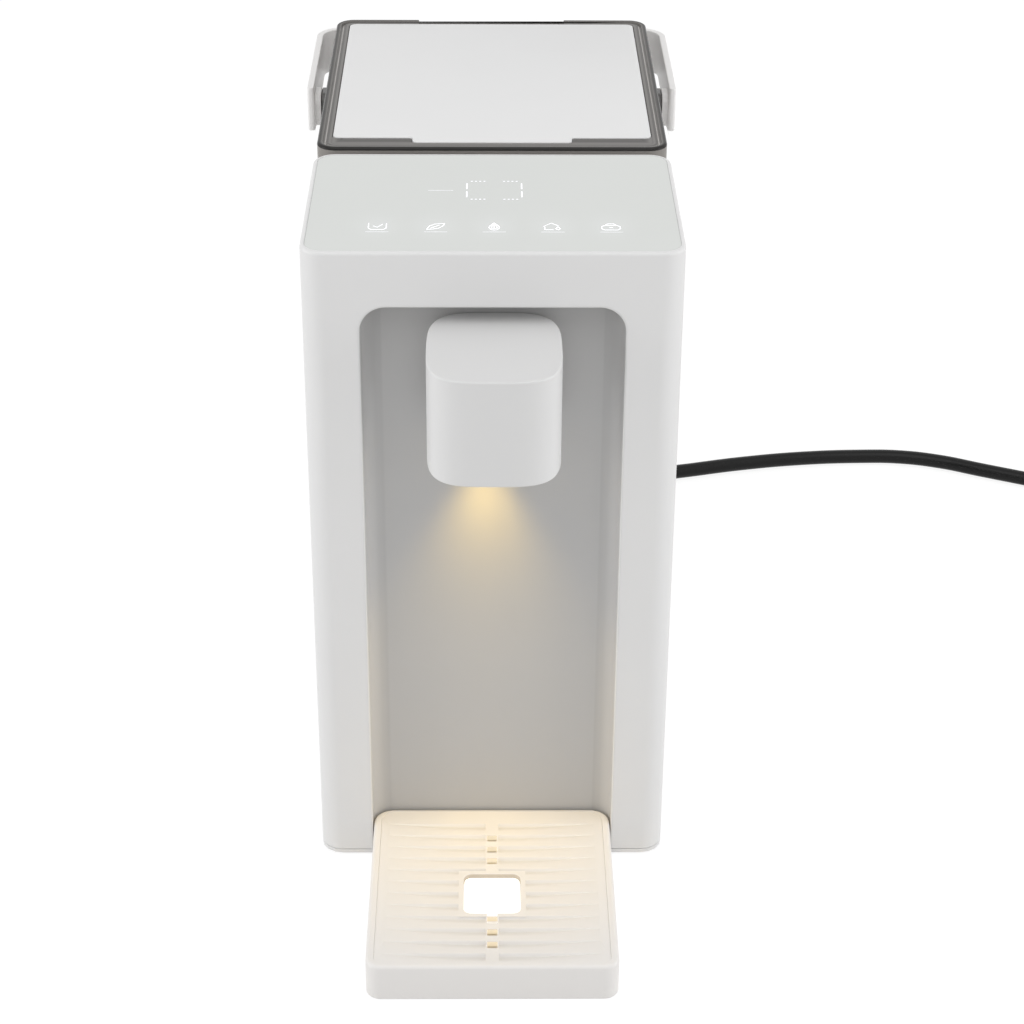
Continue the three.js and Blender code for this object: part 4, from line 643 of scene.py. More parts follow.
def displayDashes(name, lines, dash):
    # Flat dashes of one length and width at an even pitch along straight lines
    length, width, pitch = dash
    top = span("control_panel")[1].z
    verts = [(x, y, top) for line in lines for x, y in line]
    start = bpy.data.meshes.new(name)
    start.from_pydata(verts, [(i, i + 1) for i in range(0, len(verts), 2)], [])
    tree = Grower(name, {"Pitch": pitch, "Length": length, "Width": width, "Rise": 2 * panel["rise"]})
    line = tree.add("GeometryNodeMeshToCurve", None, {"Mesh": tree.size("Geometry")})
    inputs = {"Curve": line, "Length": tree.size("Pitch")}
    even = tree.add("GeometryNodeResampleCurve", {"mode": "LENGTH"}, inputs)
    box = tree.vector(tree.size("Length"), tree.size("Width"), tree.size("Rise"))
    bar = tree.add("GeometryNodeMeshCube", None, {"Size": box})
    tangent = tree.add("GeometryNodeInputTangent")
    turn = tree.add("FunctionNodeAlignRotationToVector", {"axis": "X"}, {"Vector": tangent})
    lit = glowing(name + "White", panel["litColour"], panel["barLight"])
    dress(tree.grow(tree.scatter(even, bar, Rotation=turn), lit, start), "machine", "panel_white", finish=lit)


# Column with the cup recess
column = {
    "cornerRadius": 9.0,
    "edgeRadius": 1.4,
    "wall": 2.5,
    "rimInset": 1.7,
    "ledge": 5.0,
    "pocketDepth": 2.85,
    "ceilingDrop": 5.25,
    "squareTop": 78.0,
    "passageTop": 68.0,
    "windowEdge": 0.7,
    "hair": 0.02,
}
recess = {
    "halfWidth": 50.4,
    "top": 255.5,
    "cornerRadius": 10.0,
    "backRadius": 8.0,
    "depth": 11.0,
    "openFront": 60.0,
    "archFront": 55.0,
    "wall": 2.0,
    "flange": 6.0,
    "flangeDepth": 2.0,
    "fadeFrom": 90.0,
    # Liner grey at the foot and at the top: the darker top is painted shade
    "shades": (0.515, 0.455),
}


linerPaintedShade = [
    # Across the rounded corner from the rear wall to the window, times the wall's level: a painted shade down
    # the corner and painted light on the side wall by the window
    (0.0, 1.0), (0.1, 0.93), (0.4, 0.95), (0.7, 1.08), (1.0, 1.22),
]


def linerPaintedShadeFinish():
    # Pale grey plastic with painted shade: a darker line down each corner, painted light on the side walls by
    # the window, and darker towards the top
    finish = Finish("linerGrey")
    x, y, z = finish.split(finish.place)
    radius, fadeFrom = recess["backRadius"], recess["fadeFrom"] * mm
    corner = (abs(x) - (recess["halfWidth"] - radius) * mm) / (radius * mm)
    height = (z - fadeFrom) / (recess["top"] * mm - fadeFrom)
    # A lighter ramp for the foot and a darker one for the top: painted shade that deepens upwards from
    # fadeFrom
    ramps = []
    for level in recess["shades"]:
        stops = [(place, grey(level * shade, 0.004)) for place, shade in linerPaintedShade]
        ramps.append(finish.add("ShaderNodeValToRGB", {"stops": stops}, {"Fac": corner}))
    return finish.moulded(finish.blend(height, *ramps), 0.36)


def windowRing(grow, y):
    low, high = (-recess["halfWidth"], -past), (recess["halfWidth"], recess["top"])
    return rectangle(low, high, (recess["cornerRadius"], recess["cornerRadius"], 0, 0), grow), y


def windowBlock(name, grow, front, back):
    return loft(name, [windowRing(grow, front), windowRing(grow, back)], "y")


def recessBlock(name, grow, bottom, top):
    low, high = (-recess["halfWidth"], -recess["openFront"] - grow), (recess["halfWidth"], recess["depth"])
    radii = (recess["backRadius"], recess["backRadius"], 0, 0)
    return loft(name, stack(low, high, radii, (grow, bottom), (grow, top)))


def columnShell():
    low, high = span("column_housing")
    radius, wall, hair = column["cornerRadius"], column["wall"], column["hair"]
    square = rectangle(low, high, (0, 0, radius, radius))
    tower = edgeRings(low, high, radius, column["squareTop"] + hair, high.z, 0, column["edgeRadius"], 7)
    shell = loft("columnShell", [(square, low.z), (square, column["squareTop"]), *tower])
    ledge, rim = -column["ledge"], -column["rimInset"]
    ceiling, pocket = high.z - column["ceilingDrop"], high.z - column["pocketDepth"]
    levels = ((-wall, -past), (-wall, ceiling), (ledge, ceiling), (ledge, pocket), (rim, pocket),
              (rim, high.z + past))
    hollow = loft("hollow", stack(low, high, radius, *levels))
    passage = block("passage", (low.x + wall + hair, (low.y + high.y) / 2, -past),
                    (high.x - wall - hair, high.y + past, column["passageTop"]))
    # The window's front edge is rounded over
    edge = column["windowEdge"]
    rounded = [windowRing(edge * a, edge * b) for a, b in quarter(6)]
    window = loft("window", [windowRing(edge, -past), *rounded, windowRing(0, wall + past)], "y")
    carve(shell, hollow, passage, window)
    dress(shell, "machine", "shell_white", "column_housing", bevel=0.05, segments=2)


def recessLiner():
    low, high = span("recess_liner")
    wall, depth = recess["wall"], recess["depth"]
    liner = recessBlock("recessLiner", wall, low.z, high.z)
    carve(liner, windowBlock("arch", wall, low.y, depth + wall + past), operation="INTERSECT")
    flange = windowBlock("flange", recess["flange"], low.y, low.y + recess["flangeDepth"])
    carve(flange, block("under", (-farOut, -farOut, -farUp), (farOut, farOut, low.z)))
    carve(liner, flange, operation="UNION")
    room = recessBlock("room", 0, -past - 1, high.z + past)
    carve(room, windowBlock("archRoom", 0, -recess["archFront"], depth + past), operation="INTERSECT")
    axis = (0, span("spout_housing")[0].z + spout["pipeRise"])
    carve(liner, room, rod("bore", spout["pipeRadius"], depth - past, high.y + past, axis, "y"))
    dress(liner, "machine", "liner_grey", "recess_liner", finish=linerPaintedShadeFinish(), bevel=0.15, segments=2)


# Dock behind the column
dock = {
    "cornerRadius": 9.0,
    "deckTop": 78.0,
    "deckEdge": 0.8,
    "wall": 2.5,
    "deck": 2.5,
    "openFront": 20.0,
    "plinthInset": 2.8,
    "plinthWall": 1.9,
    "socketRadius": 16.8,
    "socketDepth": 5.0,
    "seatRadius": 21.2,
    "seatDepth": 1.0,
    "cordRadius": 7.1,
    "cordPlace": (50, 16),
}
tank = {
    "cornerRadius": 7.0,
    "wall": 2.2,
    "skirt": 7.7,
    "skirtBevel": 1.2,
    "lowerEdge": 0.25,
    "floor": 2.4,
    "floorRound": (2.0, 0.6),
    "rim": 0.8,
    "holeRadius": 12.0,
    "cover": 0.1,
    "cornerCover": 1.0,
    "rimBand": 2.5,
    "rimCover": 0.22,
}


def dockShell():
    low, high = span("dock_housing")
    tankLow, tankHigh = span("water_tank")
    wall, top, radius, edge = (dock[k] for k in ("wall", "deckTop", "cornerRadius", "deckEdge"))
    inset = Vector((dock["plinthInset"],) * 3)
    plinth = (tankLow + inset, tankHigh - inset, tank["cornerRadius"] - dock["plinthInset"])
    rings = edgeRings(low, high, (radius, radius, 0, 0), low.z, top, 0, edge)
    shell = loft("dockShell", rings + edgeRings(*plinth, top, high.z, 0, edge))
    inside = rectangle((low.x + wall, low.y - dock["openFront"]), (high.x - wall, high.y - wall),
                       (radius - wall, radius - wall, 0, 0))
    upper = rectangle(*plinth, -dock["plinthWall"])
    under, roof = top - dock["deck"], high.z - dock["deck"]
    hollow = loft("dockHollow", [(inside, -past), (inside, under), (upper, under), (upper, roof)])
    socket, seat, bed = dock["socketRadius"], dock["seatRadius"], high.z - dock["seatDepth"]
    profile = [(socket, top - dock["socketDepth"]), (socket, bed), (seat, bed), (seat, high.z + past)]
    behind = high.y - wall - past, high.y + past
    exitHole = rod("exitHole", dock["cordRadius"], *behind, dock["cordPlace"], "y")
    carve(shell, hollow, turned("seat", profile, centreOf("valve_body")), exitHole)
    dress(shell, "machine", "shell_white", "dock_housing", bevel=0.25)


def tankShell():
    low, high = span("water_tank")
    wall, bevel, edge, rim = (tank[k] for k in ("wall", "skirtBevel", "lowerEdge", "rim"))
    under, shoulder = low.z + tank["skirt"], high.z - rim
    floor, (far, near) = under + tank["floor"], tank["floorRound"]
    turns = [math.pi * i / 4 for i in range(1, 5)]
    levels = [(-wall - bevel, under), (-wall, under - bevel), (-wall, low.z), (-edge, low.z),
              (0, low.z + edge), (0, shoulder)]
    levels += [((math.cos(a) - 1) * wall / 2, shoulder + math.sin(a) * rim) for a in turns]
    levels += [(-wall, shoulder), (-wall, floor + far), (-wall - near, floor + near), (-wall - far, floor)]
    shell = loft("tankShell", stack(low, high, tank["cornerRadius"], *levels))
    carve(shell, rod("valveHole", tank["holeRadius"], under - past, floor + past, centreOf("valve_body")))
    dress(shell, "tank", "tank_clear", "water_tank", finish=tankFinish(), angle=50)


def tankFinish():
    # Clear plastic that looks fuller where a line of sight runs along the wall: corners, rim and foot
    finish = Finish("tankClear")
    low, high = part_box("water_tank")
    centre, radius = (low + high) / 2, tank["cornerRadius"] * mm
    x, y, z = finish.split(finish.place)
    along = (abs(x - centre.x) - (high.x - centre.x - radius)) / radius
    across = (abs(y - centre.y) - (high.y - centre.y - radius)) / radius
    corner = along.maths("MAXIMUM", 0.0) * across.maths("MAXIMUM", 0.0)
    rim = (z > high.z - tank["rimBand"] * mm) + (z < low.z + tank["skirt"] * mm)
    flow = finish.noise(30)
    return finish.set(
        Base_Color=finish.blend(flow, grey(0.66, 0.02), grey(0.7, 0.02)),
        Roughness=0.04 + flow * 0.03,
        Alpha=tank["cover"] + corner * tank["cornerCover"] + rim * tank["rimCover"] + flow * 0.02,
        Normal=finish.bump(finish.noise(14, 1.0), 0.01),
        IOR=acrylicRefraction,
    )


# Lid
lid = {
    "cornerRadius": 8.0,
    "edge": 1.1,
    "lowerEdge": 0.5,
    "ridge": 2.3,
    "ridgeDrop": 1.1,
    "ridgeEdge": 0.3,
    "grooveWidth": 1.3,
    "shelfDrop": 0.55,
    "shelfEdge": 0.15,
    "backBorder": 5.0,
    "pocketDepth": 3.0,
    "floor": 2.0,
    "body": 270.0,
    "skirtInset": 4.5,
    "skirtWall": 2.0,
    "plateRadius": 3.0,
    "plateEdge": 0.35,
    "tongueHalf": 33.0,
    "tongueLength": 5.4,
    "tongueRadius": 2.2,
    "tongueFillet": 0.8,
    "notchHalf": 34.0,
    "sealWidth": 1.9,
    "sealLip": 0.5,
    "sealValley": 0.3,
    "hair": 0.02,
}


lidBandsAndPaintedShade = [
    # Distance in from the outer edge, and how pale the plastic is painted there: the walls and ribs below
    # that show through, with painted shade and a painted highlight line
    (0.0, 0.03), (1.15, 0.04), (1.6, 0.1), (2.2, 0.2), (2.6, 0.17), (3.0, 0.2), (3.2, 0.55), (3.5, 0.55),
    (3.8, 0.13), (4.5, 0.13), (4.9, 0.2), (5.4, 0.2), (6.0, 0.16), (6.5, 0.2), (7.3, 0.19), (8.6, 0.12),
    (9.9, 0.1), (11.2, 0.13), (13.0, 0.12),
]


def lidFinish():
    # Smoky clear plastic: bands along the edge are partly the walls and ribs below showing through and partly
    # painted shade and highlight; upright faces are a paler grey
    finish = Finish("lidSmoky")
    low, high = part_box("tank_lid_frame")
    centre, radius, deepest = (low + high) / 2, lid["cornerRadius"] * mm, lidBandsAndPaintedShade[-1][0]
    x, y, z = finish.split(finish.place)
    along = abs(x - centre.x) - (high.x - centre.x - radius)
    across = abs(y - centre.y) - (high.y - centre.y - radius)
    pastX, pastY = along.maths("MAXIMUM", 0.0), across.maths("MAXIMUM", 0.0)
    outside = (pastX * pastX + pastY * pastY) ** 0.5
    inside = along.maths("MAXIMUM", across).maths("MINIMUM", 0.0)
    flow = finish.noise(9, 2.0)
    share = (radius - outside - inside) / (deepest * mm) + (flow - 0.5) * 0.01
    stops = [(place / deepest, grey(shade, 0.045)) for place, shade in lidBandsAndPaintedShade]
    bands = finish.add("ShaderNodeValToRGB", {"stops": stops}, {"Fac": share})
    upright = (high.z - lid["edge"] * mm - z) / (0.3 * mm)
    return finish.set(
        Base_Color=finish.blend(upright, bands, grey(0.27, 0.06)),
        Roughness=0.16 + flow * 0.05,
        Specular_IOR_Level=0.1,
        Alpha=0.96 + flow * 0.03,
        Normal=finish.bump(finish.noise(14, 1.0), 0.01),
        IOR=acrylicRefraction,
    )


def plateBlock(name, *levels):
    # White plate with its tongue in front, anticlockwise from the right rear corner
    low, high = span("lid_plate")
    r, t, fillet = lid["plateRadius"], lid["tongueRadius"], lid["tongueFillet"]
    rings = []
    for grow, z in levels:
        half, front, tip = lid["tongueHalf"] + grow, low.y + lid["tongueLength"] - grow, low.y - grow
        x0, x1, y1 = low.x - grow, high.x + grow, high.y + grow
        rings.append((path([(x1, y1, r), (x0, y1, r), (x0, front, r), (-half, front, fillet), (-half, tip, t),
                            (half, tip, t), (half, front, fillet), (x1, front, r)]), z))
    return loft(name, rings)


def lidPlate():
    low, high = span("lid_plate")
    edge, most = lid["plateEdge"], lid["plateEdge"] * 0.3
    levels = ((0, low.z), (0, high.z - edge), (-most, high.z - most), (-edge, high.z))
    dress(plateBlock("lidPlate", *levels), "lid", "lid_white", "lid_plate")


def lidFrame():
    low, high = span("tank_lid_frame")
    radius, top, body, half = lid["cornerRadius"], high.z, lid["body"], lid["notchHalf"]
    pocketBottom = top - smallGap - lid["pocketDepth"]
    roof = pocketBottom - lid["floor"]
    skirt, inner = -lid["skirtInset"], -lid["skirtInset"] - lid["skirtWall"]
    ridge, groove = -lid["ridge"], -lid["ridge"] - lid["grooveWidth"]
    bed, shelf, edge, hem = top - lid["ridgeDrop"], top - lid["shelfDrop"], lid["ridgeEdge"], lid["shelfEdge"]
    rings = stack(*span("water_tank"), tank["cornerRadius"], (inner, roof), (inner, low.z), (skirt, low.z),
                  (skirt, body))
    rings += edgeRings(low, high, radius, body, top, lid["lowerEdge"], lid["edge"])
    rings += stack(low, high, radius, (ridge + edge, top), (ridge, top - edge), (ridge, bed), (groove, bed),
                   (groove, shelf - hem), (groove - hem, shelf))
    made = loft("lidFrame", rings)
    pocket = plateBlock("pocket", (smallGap, pocketBottom), (smallGap, top + past))
    notch = block("notch", (-half, high.y - lid["backBorder"], bed + lid["hair"]),
                  (half, high.y + past, top + past))
    carve(made, pocket, notch)
    dress(made, "lid", "lid_smoky", "tank_lid_frame", finish=lidFinish(), bevel=0.18, segments=2, angle=50)


def lidSeal():
    # Two lips outside, flat inside
    low, high = span("lid_seal")
    middle, lip, valley, back = (low.z + high.z) / 2, lid["sealLip"], lid["sealValley"], -lid["sealWidth"]
    levels = ((-lip, low.z), (0, low.z + lip), (-lip, middle - valley), (-lip, middle + valley),
              (0, high.z - lip), (-lip, high.z), (back, high.z), (back, low.z))
    rings = stack(low, high, tank["cornerRadius"] - tank["wall"], *levels)
    dress(loft("lidSeal", rings, loop=True), "lid", "silicone", "lid_seal")


# Carrying handle and its pivots
handle = {
    "strap": 3.0,
    "cornerRadius": 13.0,
    "hubSetback": 3.5,
    "hubThickness": 2.8,
    "hubWall": 5.2,
    "hubRadius": 4.5,
    "hubSunk": 0.4,
    "boreRadius": 2.75,
    "edge": 0.5,
    "tipRadius": 1.2,
    "pinRadius": 2.5,
    "pivotPlace": (211.5, 262.0),
}


def hubBlock(name, ends, front, bottom):
    (x0, x1), (y, z), wall = sorted(ends), handle["pivotPlace"], handle["hubWall"]
    return block(name, (x0, front, bottom), (x1, y + wall, z + wall), handle["hubRadius"], "x")


def carryHandle():
    low, high = span("tank_handle")
    wall, rear, tip = handle["strap"], handle["cornerRadius"], handle["tipRadius"]
    x0, x1, y0, y1 = low.x, high.x, low.y, high.y
    inside = rear - wall
    outline = path([
        (x1, y1, rear), (x0, y1, rear), (x0, y0, tip), (x0 + wall, y0, tip), (x0 + wall, y1 - wall, inside),
        (x1 - wall, y1 - wall, inside), (x1 - wall, y0, tip), (x1, y0, tip)])
    strap = loft("carryHandle", [(outline, low.z), (outline, high.z)])
    near, far = x1 - wall + handle["hubSunk"], x1 - wall - handle["hubThickness"]
    for side in (-1, 1):
        hub = hubBlock("hub", (side * near, side * far), y0 + handle["hubSetback"], low.z)
        carve(strap, hub, operation="UNION")
    carve(strap, rod("hubBore", handle["boreRadius"], x0 - past, x1 + past, handle["pivotPlace"], "x"))
    dress(strap, "handle", "handle_white", "tank_handle", bevel=handle["edge"], segments=4)


def handlePivot(side, name, node):
    low, high = span(node)
    outer, inner = (high.x, low.x) if side > 0 else (low.x, high.x)
    face = side * (span("tank_handle")[1].x - handle["strap"] - handle["hubThickness"] - smallGap)
    pad = hubBlock(name, (inner, face), low.y, low.z)
    r = handle["pinRadius"]
    profile = [(r, face - side), (r, outer - side * 0.6), (r - 0.2, outer - side * 0.2), (r - 0.6, outer)]
    carve(pad, turned("pin", profile, handle["pivotPlace"], "x", 40), operation="UNION")
    dress(pad, "tank", "boss_grey", node, bevel=0.35)


# Spout: a pod with a superellipse outline
spout = {
    "power": 3.6,
    "wall": 2.0,
    "sides": 120,
    "edge": 0.7,
    "aside": 0.45,
    "narrower": 0.25,
    "neckHalf": 11.0,
    "neckHeight": 24.0,
    "pipeRise": 28.0,
    "pipeRadius": 6.5,
    "pipeDepth": 12.0,
    "coverGap": 0.3,
    "nozzleHole": 6.3,
    "lightHole": 4.8,
}


def squircleBlock(tree, inset, height):
    # A round block pressed out to the superellipse
    inputs = {"Vertices": spout["sides"], "Side Segments": 1, "Fill Segments": 1, "Radius": 1.0,
              "Depth": height}
    blank = tree.add("GeometryNodeMeshCylinder", {"fill_type": "NGON"}, inputs)
    x, y, z = tree.split(tree.add("GeometryNodeInputPosition"))
    power = tree.size("Power")
    press = (abs(x) ** power + abs(y) ** power) ** (-1.0 / power)
    wide, paintedGrooveShade = tree.size("Half Width") - inset, tree.size("Half Depth") - inset
    return tree.press(blank, x * press * wide, y * press * paintedGrooveShade, z)


def squirclePiece(name, node, inset=0.0, hollow=True):
    low, high = span(node)
    podLow, podHigh = span("spout_housing")
    tree = Grower(name, {
        "Half Width": podHigh.x - spout["narrower"], "Half Depth": (podHigh.y - podLow.y) / 2,
        "Power": spout["power"], "Height": high.z - low.z, "Wall": spout["wall"], "Inset": inset})
    outer = squircleBlock(tree, tree.size("Inset"), tree.size("Height"))
    if hollow:
        inner = squircleBlock(tree, tree.size("Wall"), tree.size("Height"))
        drop = tree.vector(0.0, 0.0, -tree.size("Wall"))
        inner = tree.add("GeometryNodeTransform", None, {"Geometry": inner, "Translation": drop})
        settings = {"operation": "DIFFERENCE", "solver": "EXACT"}
        outer = tree.add("GeometryNodeMeshBoolean", settings, {"Mesh 1": outer, "Mesh 2": inner})
    piece = tree.grow(outer, finishes["spout_white"])
    place = (spout["aside"], (podLow.y + podHigh.y) / 2, (low.z + high.z) / 2)
    piece.data.transform(Matrix.Translation(place))
    return piece


def spoutPod():
    low, high = span("spout_housing")
    pod = squirclePiece("spoutPod", "spout_housing")
    axis, half, rise = (0, low.z + spout["pipeRise"]), spout["neckHalf"], spout["neckHeight"] / 2
    neck = block("neck", (-half, high.y - spout["wall"], axis[1] - rise),
                 (half, high.y - 0.01, axis[1] + rise))
    carve(pod, neck, operation="UNION")
    carve(pod, rod("pipeHole", spout["pipeRadius"], high.y - spout["pipeDepth"], high.y + past, axis, "y"))
    dress(pod, "machine", "shell_white", "spout_housing", finish=finishes["spout_white"], bevel=spout["edge"],
          segments=4, angle=50)


def spoutCover():
    cover = squirclePiece("spoutCover", "spout_cover", spout["wall"] + spout["coverGap"], hollow=False)
    low, high = span("spout_cover")
    for node, radius in (("nozzle", spout["nozzleHole"]), ("led_module", spout["lightHole"])):
        carve(cover, rod("coverHole", radius, low.z - past, high.z + past, centreOf(node)))
    dress(cover, "machine", "shell_white", "spout_cover", finish=finishes["spout_white"], bevel=0.2)


def nozzleTip():
    low, high = span("nozzle")
    z = low.z
    outside = [(3.1, z + 0.25), (3.35, z), (4.4, z), (4.7, z + 0.3), (5.8, z + 1.6), (6, z + 2), (6, z + 5.8),
               (8, z + 5.8), (8, z + 7.8), (4, z + 7.8), (4, high.z), (3, high.z)]
    dress(turned("nozzleTip", outside, centreOf("nozzle"), loop=True), "machine", "steel", "nozzle", angle=30)


def lightLens():
    low, high = span("led_module")
    z = low.z
    profile = [(0, z), (2.4, z + 0.1), (4.1, z + 0.4), (4.5, z + 0.9), (4.5, z + 2.3), (8, z + 2.3),
               (8, high.z), (0, high.z)]
    dress(turned("lightLens", profile, centreOf("led_module")), "machine", "light_lens", "led_module")


# Drip tray and its grille
tray = {
    "radii": (8.0, 8.0, 6.0, 6.0),
    "colour": grey(0.82, 0.024),
    "gloss": 0.45,
    "edge": 1.6,
    "lowerEdge": 0.8,
    "endRim": 1.7,
    "rimEdge": 0.06,
    "floor": 2.0,
    "floorRound": (2.0, 0.7, 0.6),
    "seatDrop": 2.9,
    "seatGap": 0.05,
    "ledge": 2.0,
    "islandTop": 9.5,
    "holeBorder": 2.0,
    "plugGap": 0.3,
    "plugDrop": 2.0,
}
grille = {
    "edge": 0.06,
    "lowerEdge": 0.2,
    "border": 2.0,
    "holeHalf": 11.65,
    "holePlace": 44.7,
    "holeDepth": 25.6,
    "holeRadius": 3.5,
    "notchHalf": 2.0,
    "notchDepth": 1.7,
    "grooves": 12,
    "groovePlace": 12.9,
    "pitch": 7.7,
    "grooveWidth": 4.9,
    "grooveDepth": 1.15,
    "halfLength": 43.0,
    "lengthSteps": 32,
    "channelHalf": 2.65,
    "slotHalf": 2.05,
    "slotDepth": 4.0,
    "slotRadius": 0.5,
    "slotRear": 17.0,
    "slotFront": 95.0,
}
grooveShape = [
    # Across a groove from its rear wall: share of its width, share of its depth. Minus is above the plate
    (0, -1.0), (0, 0.0), (0.1, 0.7), (0.22, 1.0), (0.45, 0.82), (0.72, 0.4), (1.0, 0.0), (1.0, -1.0),
]


def holeSpan():
    back = span("drip_tray")[1].y - grille["holePlace"]
    return back - grille["holeDepth"], back


def plateRadii():
    return tuple(r - tray["endRim"] for r in tray["radii"])


def trayFinish():
    # White plastic; the island under the hole is painted bright white and glows, a painted light, and the
    # bowl under the grille has a painted warm glow
    finish = Finish("trayWhite")
    x, y, z = finish.split(finish.place)
    front, back = (frontFace + v * mm for v in holeSpan())
    low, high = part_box("drip_grille")
    reach, seat = tray["holeBorder"] * mm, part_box("drip_tray")[1].z - tray["seatDrop"] * mm
    bowlGlowMask = (z < seat - 0.2 * mm) * (z > tray["floor"] * 0.5 * mm) * (abs(x) < high.x - reach)
    bowlGlowMask = bowlGlowMask * (y < high.y - reach) * (y > low.y + reach)
    glowingIsland = (abs(x) < grille["holeHalf"] * mm + reach) * (y < back + reach) * (y > front - reach)
    glowingIsland = glowingIsland * (z > tray["islandTop"] * 0.6 * mm)
    # Warm emission in the bowl: painted light from the spout's lamp
    lit = finish.blend(bowlGlowMask, black, (0.3, 0.24, 0.14, 1))
    white = finish.blend(glowingIsland, finish.clouds(tray["colour"]), (0.92, 0.92, 0.91, 1))
    # The island glows white: painted light
    return finish.moulded(
        white, tray["gloss"], worn=False,
        Emission_Color=finish.blend(glowingIsland, lit, (1, 1, 1, 1)), Emission_Strength=0.5)


def grilleFinish():
    # White plastic with painted shade down in the grooves and on the wall of the hole, and a painted warm
    # glow in the slots of the spine
    finish = Finish("grilleWhite")
    x, y, z = finish.split(finish.place)
    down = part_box("drip_grille")[1].z - z
    front, back = holeSpan()
    middle, reach = frontFace + (front + back) / 2 * mm, (back - front) / 2 + 0.1
    fromHole = abs(y - middle)
    onSpine = (abs(x) < (grille["slotHalf"] + 0.1) * mm) * (fromHole > (reach + grille["notchDepth"]) * mm)
    inHole = (abs(x) < (grille["holeHalf"] + 0.1) * mm) * (fromHole < reach * mm)
    # Slots on the spine: painted warm light, in colour and in glow
    through = onSpine * down / (0.3 * mm)
    # Darker with depth in the grooves: painted shade
    paintedGrooveShade = finish.blend(down / (grille["grooveDepth"] * mm), finish.clouds(tray["colour"]), grey(0.69, 0.024))
    # Brownish on the wall of the hole: painted shade
    paintedHoleShade = finish.blend(inHole * down / (0.3 * mm), paintedGrooveShade, (0.56, 0.49, 0.4, 1))
    return finish.moulded(
        finish.blend(through, paintedHoleShade, (0.8, 0.72, 0.58, 1)), tray["gloss"], worn=False,
        Emission_Color=finish.blend(through, black, (1.0, 0.9, 0.7, 1)), Emission_Strength=0.32)


def trayBody():
    low, high = span("drip_tray")
    seat, floor, ledge = high.z - tray["seatDrop"], tray["floor"], -tray["ledge"]
    gap, edge, (far, out, up) = tray["seatGap"], tray["rimEdge"], tray["floorRound"]
    rings = edgeRings(low, high, tray["radii"], low.z, high.z, tray["lowerEdge"], tray["edge"], 6)
    rings += stack(*span("drip_grille"), plateRadii(), (gap + edge, high.z), (gap, high.z - edge),
                   (gap, seat), (ledge, seat), (ledge, floor + far), (ledge - out, floor + up),
                   (ledge - far, floor))
    body = loft("trayBody", rings)
    front, back = holeSpan()
    border, gap, half, notch = tray["holeBorder"], tray["plugGap"], grille["holeHalf"], grille["notchHalf"]
    foot = rectangle((-half - border, front - border), (half + border, back + border), 2.0)
    upper = rectangle((-half, front), (half, back), grille["holeRadius"], -gap)
    islandTop, top = tray["islandTop"], high.z - tray["plugDrop"]
    island = loft("island", [(foot, floor - 0.5), (foot, islandTop), (upper, islandTop), (upper, top)])
    lip = block("lip", (gap - notch, front - grille["notchDepth"] + gap, floor),
                (notch - gap, front + past, top))
    carve(body, island, lip, operation="UNION")
    dress(body, "tray", "tray_white", "drip_tray", finish=trayFinish(), angle=40)


def grooveCutter():
    # Lens shaped in plan: a straight wall behind and a floor that slopes up to a bowed front edge
    top, steps = span("drip_grille")[1].z, grille["lengthSteps"]
    rings = []
    for step in range(steps + 1):
        t = 2 * step / steps - 1
        bow = max(1 - t * t, 0.004)
        x, width, depth = t * grille["halfLength"], grille["grooveWidth"] * bow, grille["grooveDepth"] * bow
        back = grille["grooveWidth"] / 2
        rings.append([(x, back - a * width, top - (b if b < 0 else b * depth)) for a, b in grooveShape])
    return skin("grooveCutter", rings)


def repeated(name, start, finish, count, pitch, first):
    # Copies of one cutter in a row towards the front
    tree = Grower(name, {"Count": count, "Pitch": float(pitch), "First": float(first)})
    row = tree.add("GeometryNodeMeshLine", None, {
        "Count": tree.size("Count"), "Start Location": tree.vector(0.0, tree.size("First"), 0.0),
        "Offset": tree.vector(0.0, -tree.size("Pitch"), 0.0)})
    made = tree.grow(tree.scatter(row, tree.size("Geometry")), finish, start.data.copy())
    bpy.data.objects.remove(start)
    return made


def dripGrille():
    low, high = span("drip_grille")
    white, (front, back) = grilleFinish(), holeSpan()
    rear, pitch = span("drip_tray")[1].y, grille["pitch"]
    edges = grille["lowerEdge"], grille["edge"]
    plate = loft("dripGrille", edgeRings(low, high, plateRadii(), low.z, high.z, *edges))

    def through(name, halfWidth, start, end, radius=0.0):
        return block(name, (-halfWidth, start, 0), (halfWidth, end, farUp), radius)
    first, border = rear - grille["groovePlace"], grille["border"]
    grooves = repeated("grooves", grooveCutter(), white, grille["grooves"], pitch, first)
    carve(grooves, through("border", grille["holeHalf"] + border, front - border, back + border),
          through("channel", grille["channelHalf"], low.y, high.y))
    carve(plate, grooves, through("hole", grille["holeHalf"], front, back, grille["holeRadius"]),
          through("gap", grille["notchHalf"], front - grille["notchDepth"], front + past))
    middle, room, half = (front + back) / 2, (back - front + pitch) / 2, grille["slotDepth"] / 2
    places = [first - i * pitch for i in range(grille["grooves"])]
    fits = [y for y in places if abs(y - middle) >= room
            and grille["slotRear"] < rear - y < grille["slotFront"]]
    carve(plate, *(through("slot", grille["slotHalf"], y - half, y + half, grille["slotRadius"])
                   for y in fits))
    dress(plate, "grille", "tray_white", "drip_grille", finish=white, angle=30)


# Feet, one under each corner
def rubberFeet():
    names = sorted(n for n in nodes if n.startswith("foot_"))
    start = bpy.data.meshes.new("footPlaces")
    start.from_pydata([centreOf(n) for n in names], [], [])
    low, high = span(names[0])
    tree = Grower("rubberFeet", {"Radius": (high.x - low.x) / 2, "Height": high.z - low.z})
    inputs = {"Vertices": 48, "Radius": tree.size("Radius"), "Depth": tree.size("Height")}
    foot = tree.add("GeometryNodeMeshCylinder", None, inputs)
    made = tree.grow(tree.scatter(tree.size("Geometry"), foot), finishes["rubber_black"], start)
    dress(made, "machine", "rubber_black", *names, bevel=0.4)


